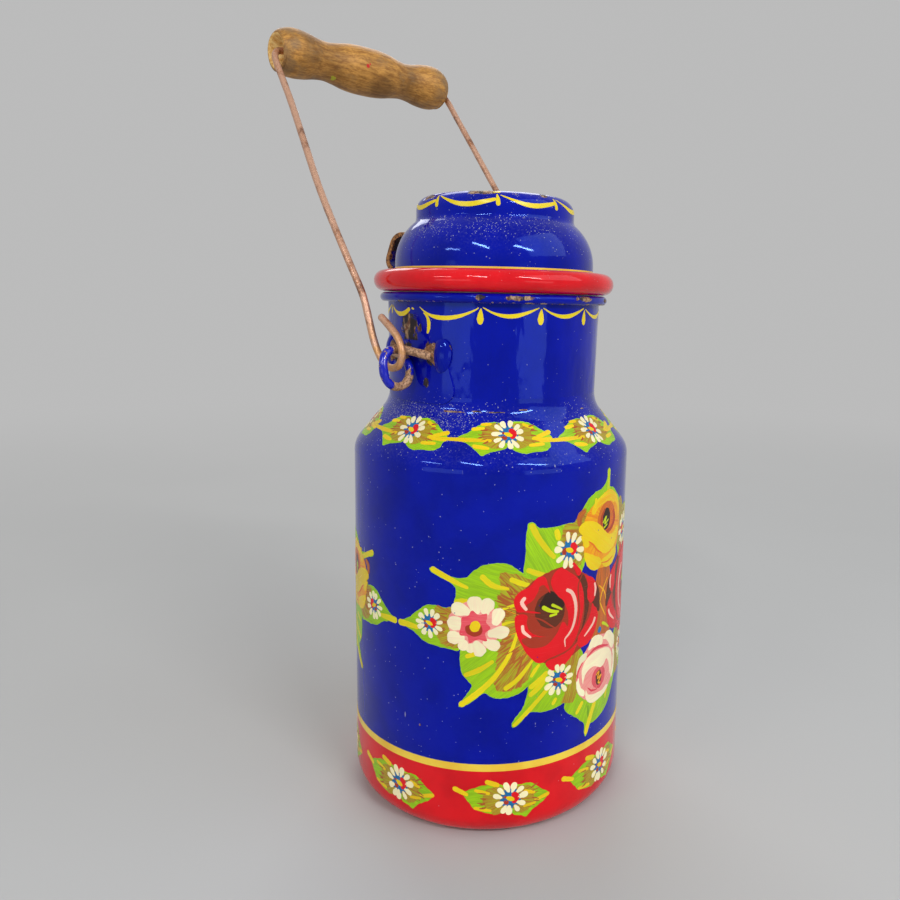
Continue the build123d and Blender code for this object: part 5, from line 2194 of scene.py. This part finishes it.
@dataclass
class Grip:
    """The turned wooden grip, its mouths worn wide by the wire, as half an outline of (along, radius)."""

    outside: tuple[Point, ...] = (
        (0.0, 12.2), (6.0, 12.1), (12.0, 11.5), (18.0, 10.3), (24.2, 9.45), (30.0, 9.9), (36.0, 11.1),
        (42.0, 11.7), (46.6, 11.3), (49.8, 10.1), (51.7, 8.7), (52.4, 7.7))
    mouth: tuple[Point, ...] = (
        (52.2, 7.1), (51.0, 6.2), (48.6, 5.0), (45.6, 3.6), (42.0, 2.3), (38.0, 1.92), (20.0, 1.9),
        (0.0, 1.9))
    half_length: float = 52.4
    bore_mouth: float = 2.6
    mouth_depth: float = 2.0
    wear_depth: float = 0.2
    waviness: float = 0.004
    worn_from: float = 47.0
    worn_over: float = 4.0
    worn_radius: float = 9.5
    worn_length: float = 1.5
    worn_way: float = -80.0
    sides: int = 96

    def build(self) -> None:
        """Turns the grip and wears its mouths."""
        wood = WoodFinish()
        half = rounded(np.array((*self.outside, *self.mouth), float), False, 0.9)
        inner = np.cumsum(np.abs(np.gradient(half[:, 0]))) > self.half_length
        other = np.column_stack([half * (-1, 1), inner])[-2:0:-1]
        profile = np.vstack([np.column_stack([half, inner]), other])
        turn = np.arange(self.sides) / self.sides * FULL_TURN
        wear = (0.5 + 0.5 * np.cos(turn - math.radians(self.worn_way))) ** 1.5
        rings = []
        for place, radius, inside in profile:
            wide = inside * min(max(radius - self.bore_mouth, 0.0), self.mouth_depth) / self.mouth_depth
            wave = 1 + self.waviness * np.sin(3 * turn + place * 0.2)
            size = radius * (1 + self.wear_depth * wear * wide) * wave
            end = max(min((abs(place) - self.worn_from) / self.worn_over, 1.0), 0.0)
            x = place - math.copysign(self.worn_length, place) * wear * end * (radius < self.worn_radius)
            y, z = wood.axis[0] + size * np.cos(turn), wood.axis[1] + size * np.sin(turn)
            rings.append(np.column_stack([x, y, z]))
        faces = quads(len(rings), self.sides, True)
        mesh = Shape(np.vstack(rings), faces, [True] * len(faces)).mesh("worn_grip")
        piece = settle("worn_grip", mesh, wood.material(), Body.GRIP)
        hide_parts("grip")


@dataclass
class Lid:
    """The lift-off lid: domed cover, rolled rim, collar and strap handle."""

    middle: Place = (0.0, 0.0, 0.235)
    crown_rubs: tuple[Rub, ...] = (
        Rub(-143.0, 276.9, 15.0, 1.3), Rub(170.0, 275.8, 8.0, 1.4), Rub(-95.0, 276.6, 5.0, 1.0),
        Rub(60.0, 276.4, 14.0, 1.4))

    def build(self) -> None:
        """Dresses the lid's nodes."""
        dress("lid_cover", blue_enamel(
            "lid_enamel", wave=0.4, dust=0.9, dust_line=(264.0, 9.0), inside=INSIDE_WHITE, middle=self.middle,
            nicks=0.7, chips=(Chips(277.0, 2.2, 0.1),), rubs=self.crown_rubs))
        dress("lid_rim", red_enamel("rim_enamel", roughness=0.035, wave=0.3, dust=0.3, nicks=0.5))
        dress("lid_collar", EnamelFinish(
            "collar_enamel", INSIDE_WHITE, INSIDE_WHITE, wave=0.05, inside=INSIDE_WHITE,
            middle=self.middle))
        dress("lid_handle", StrapFinish())


def main() -> None:
    """Builds the studio and each sub-assembly in order."""
    logging.basicConfig(level=logging.INFO, format="%(message)s")
    for part in (Studio(), CanBody(), Ears(), Bail(), Lid(), Decoration()):
        part.build()


if __name__ == "__main__":
    main()
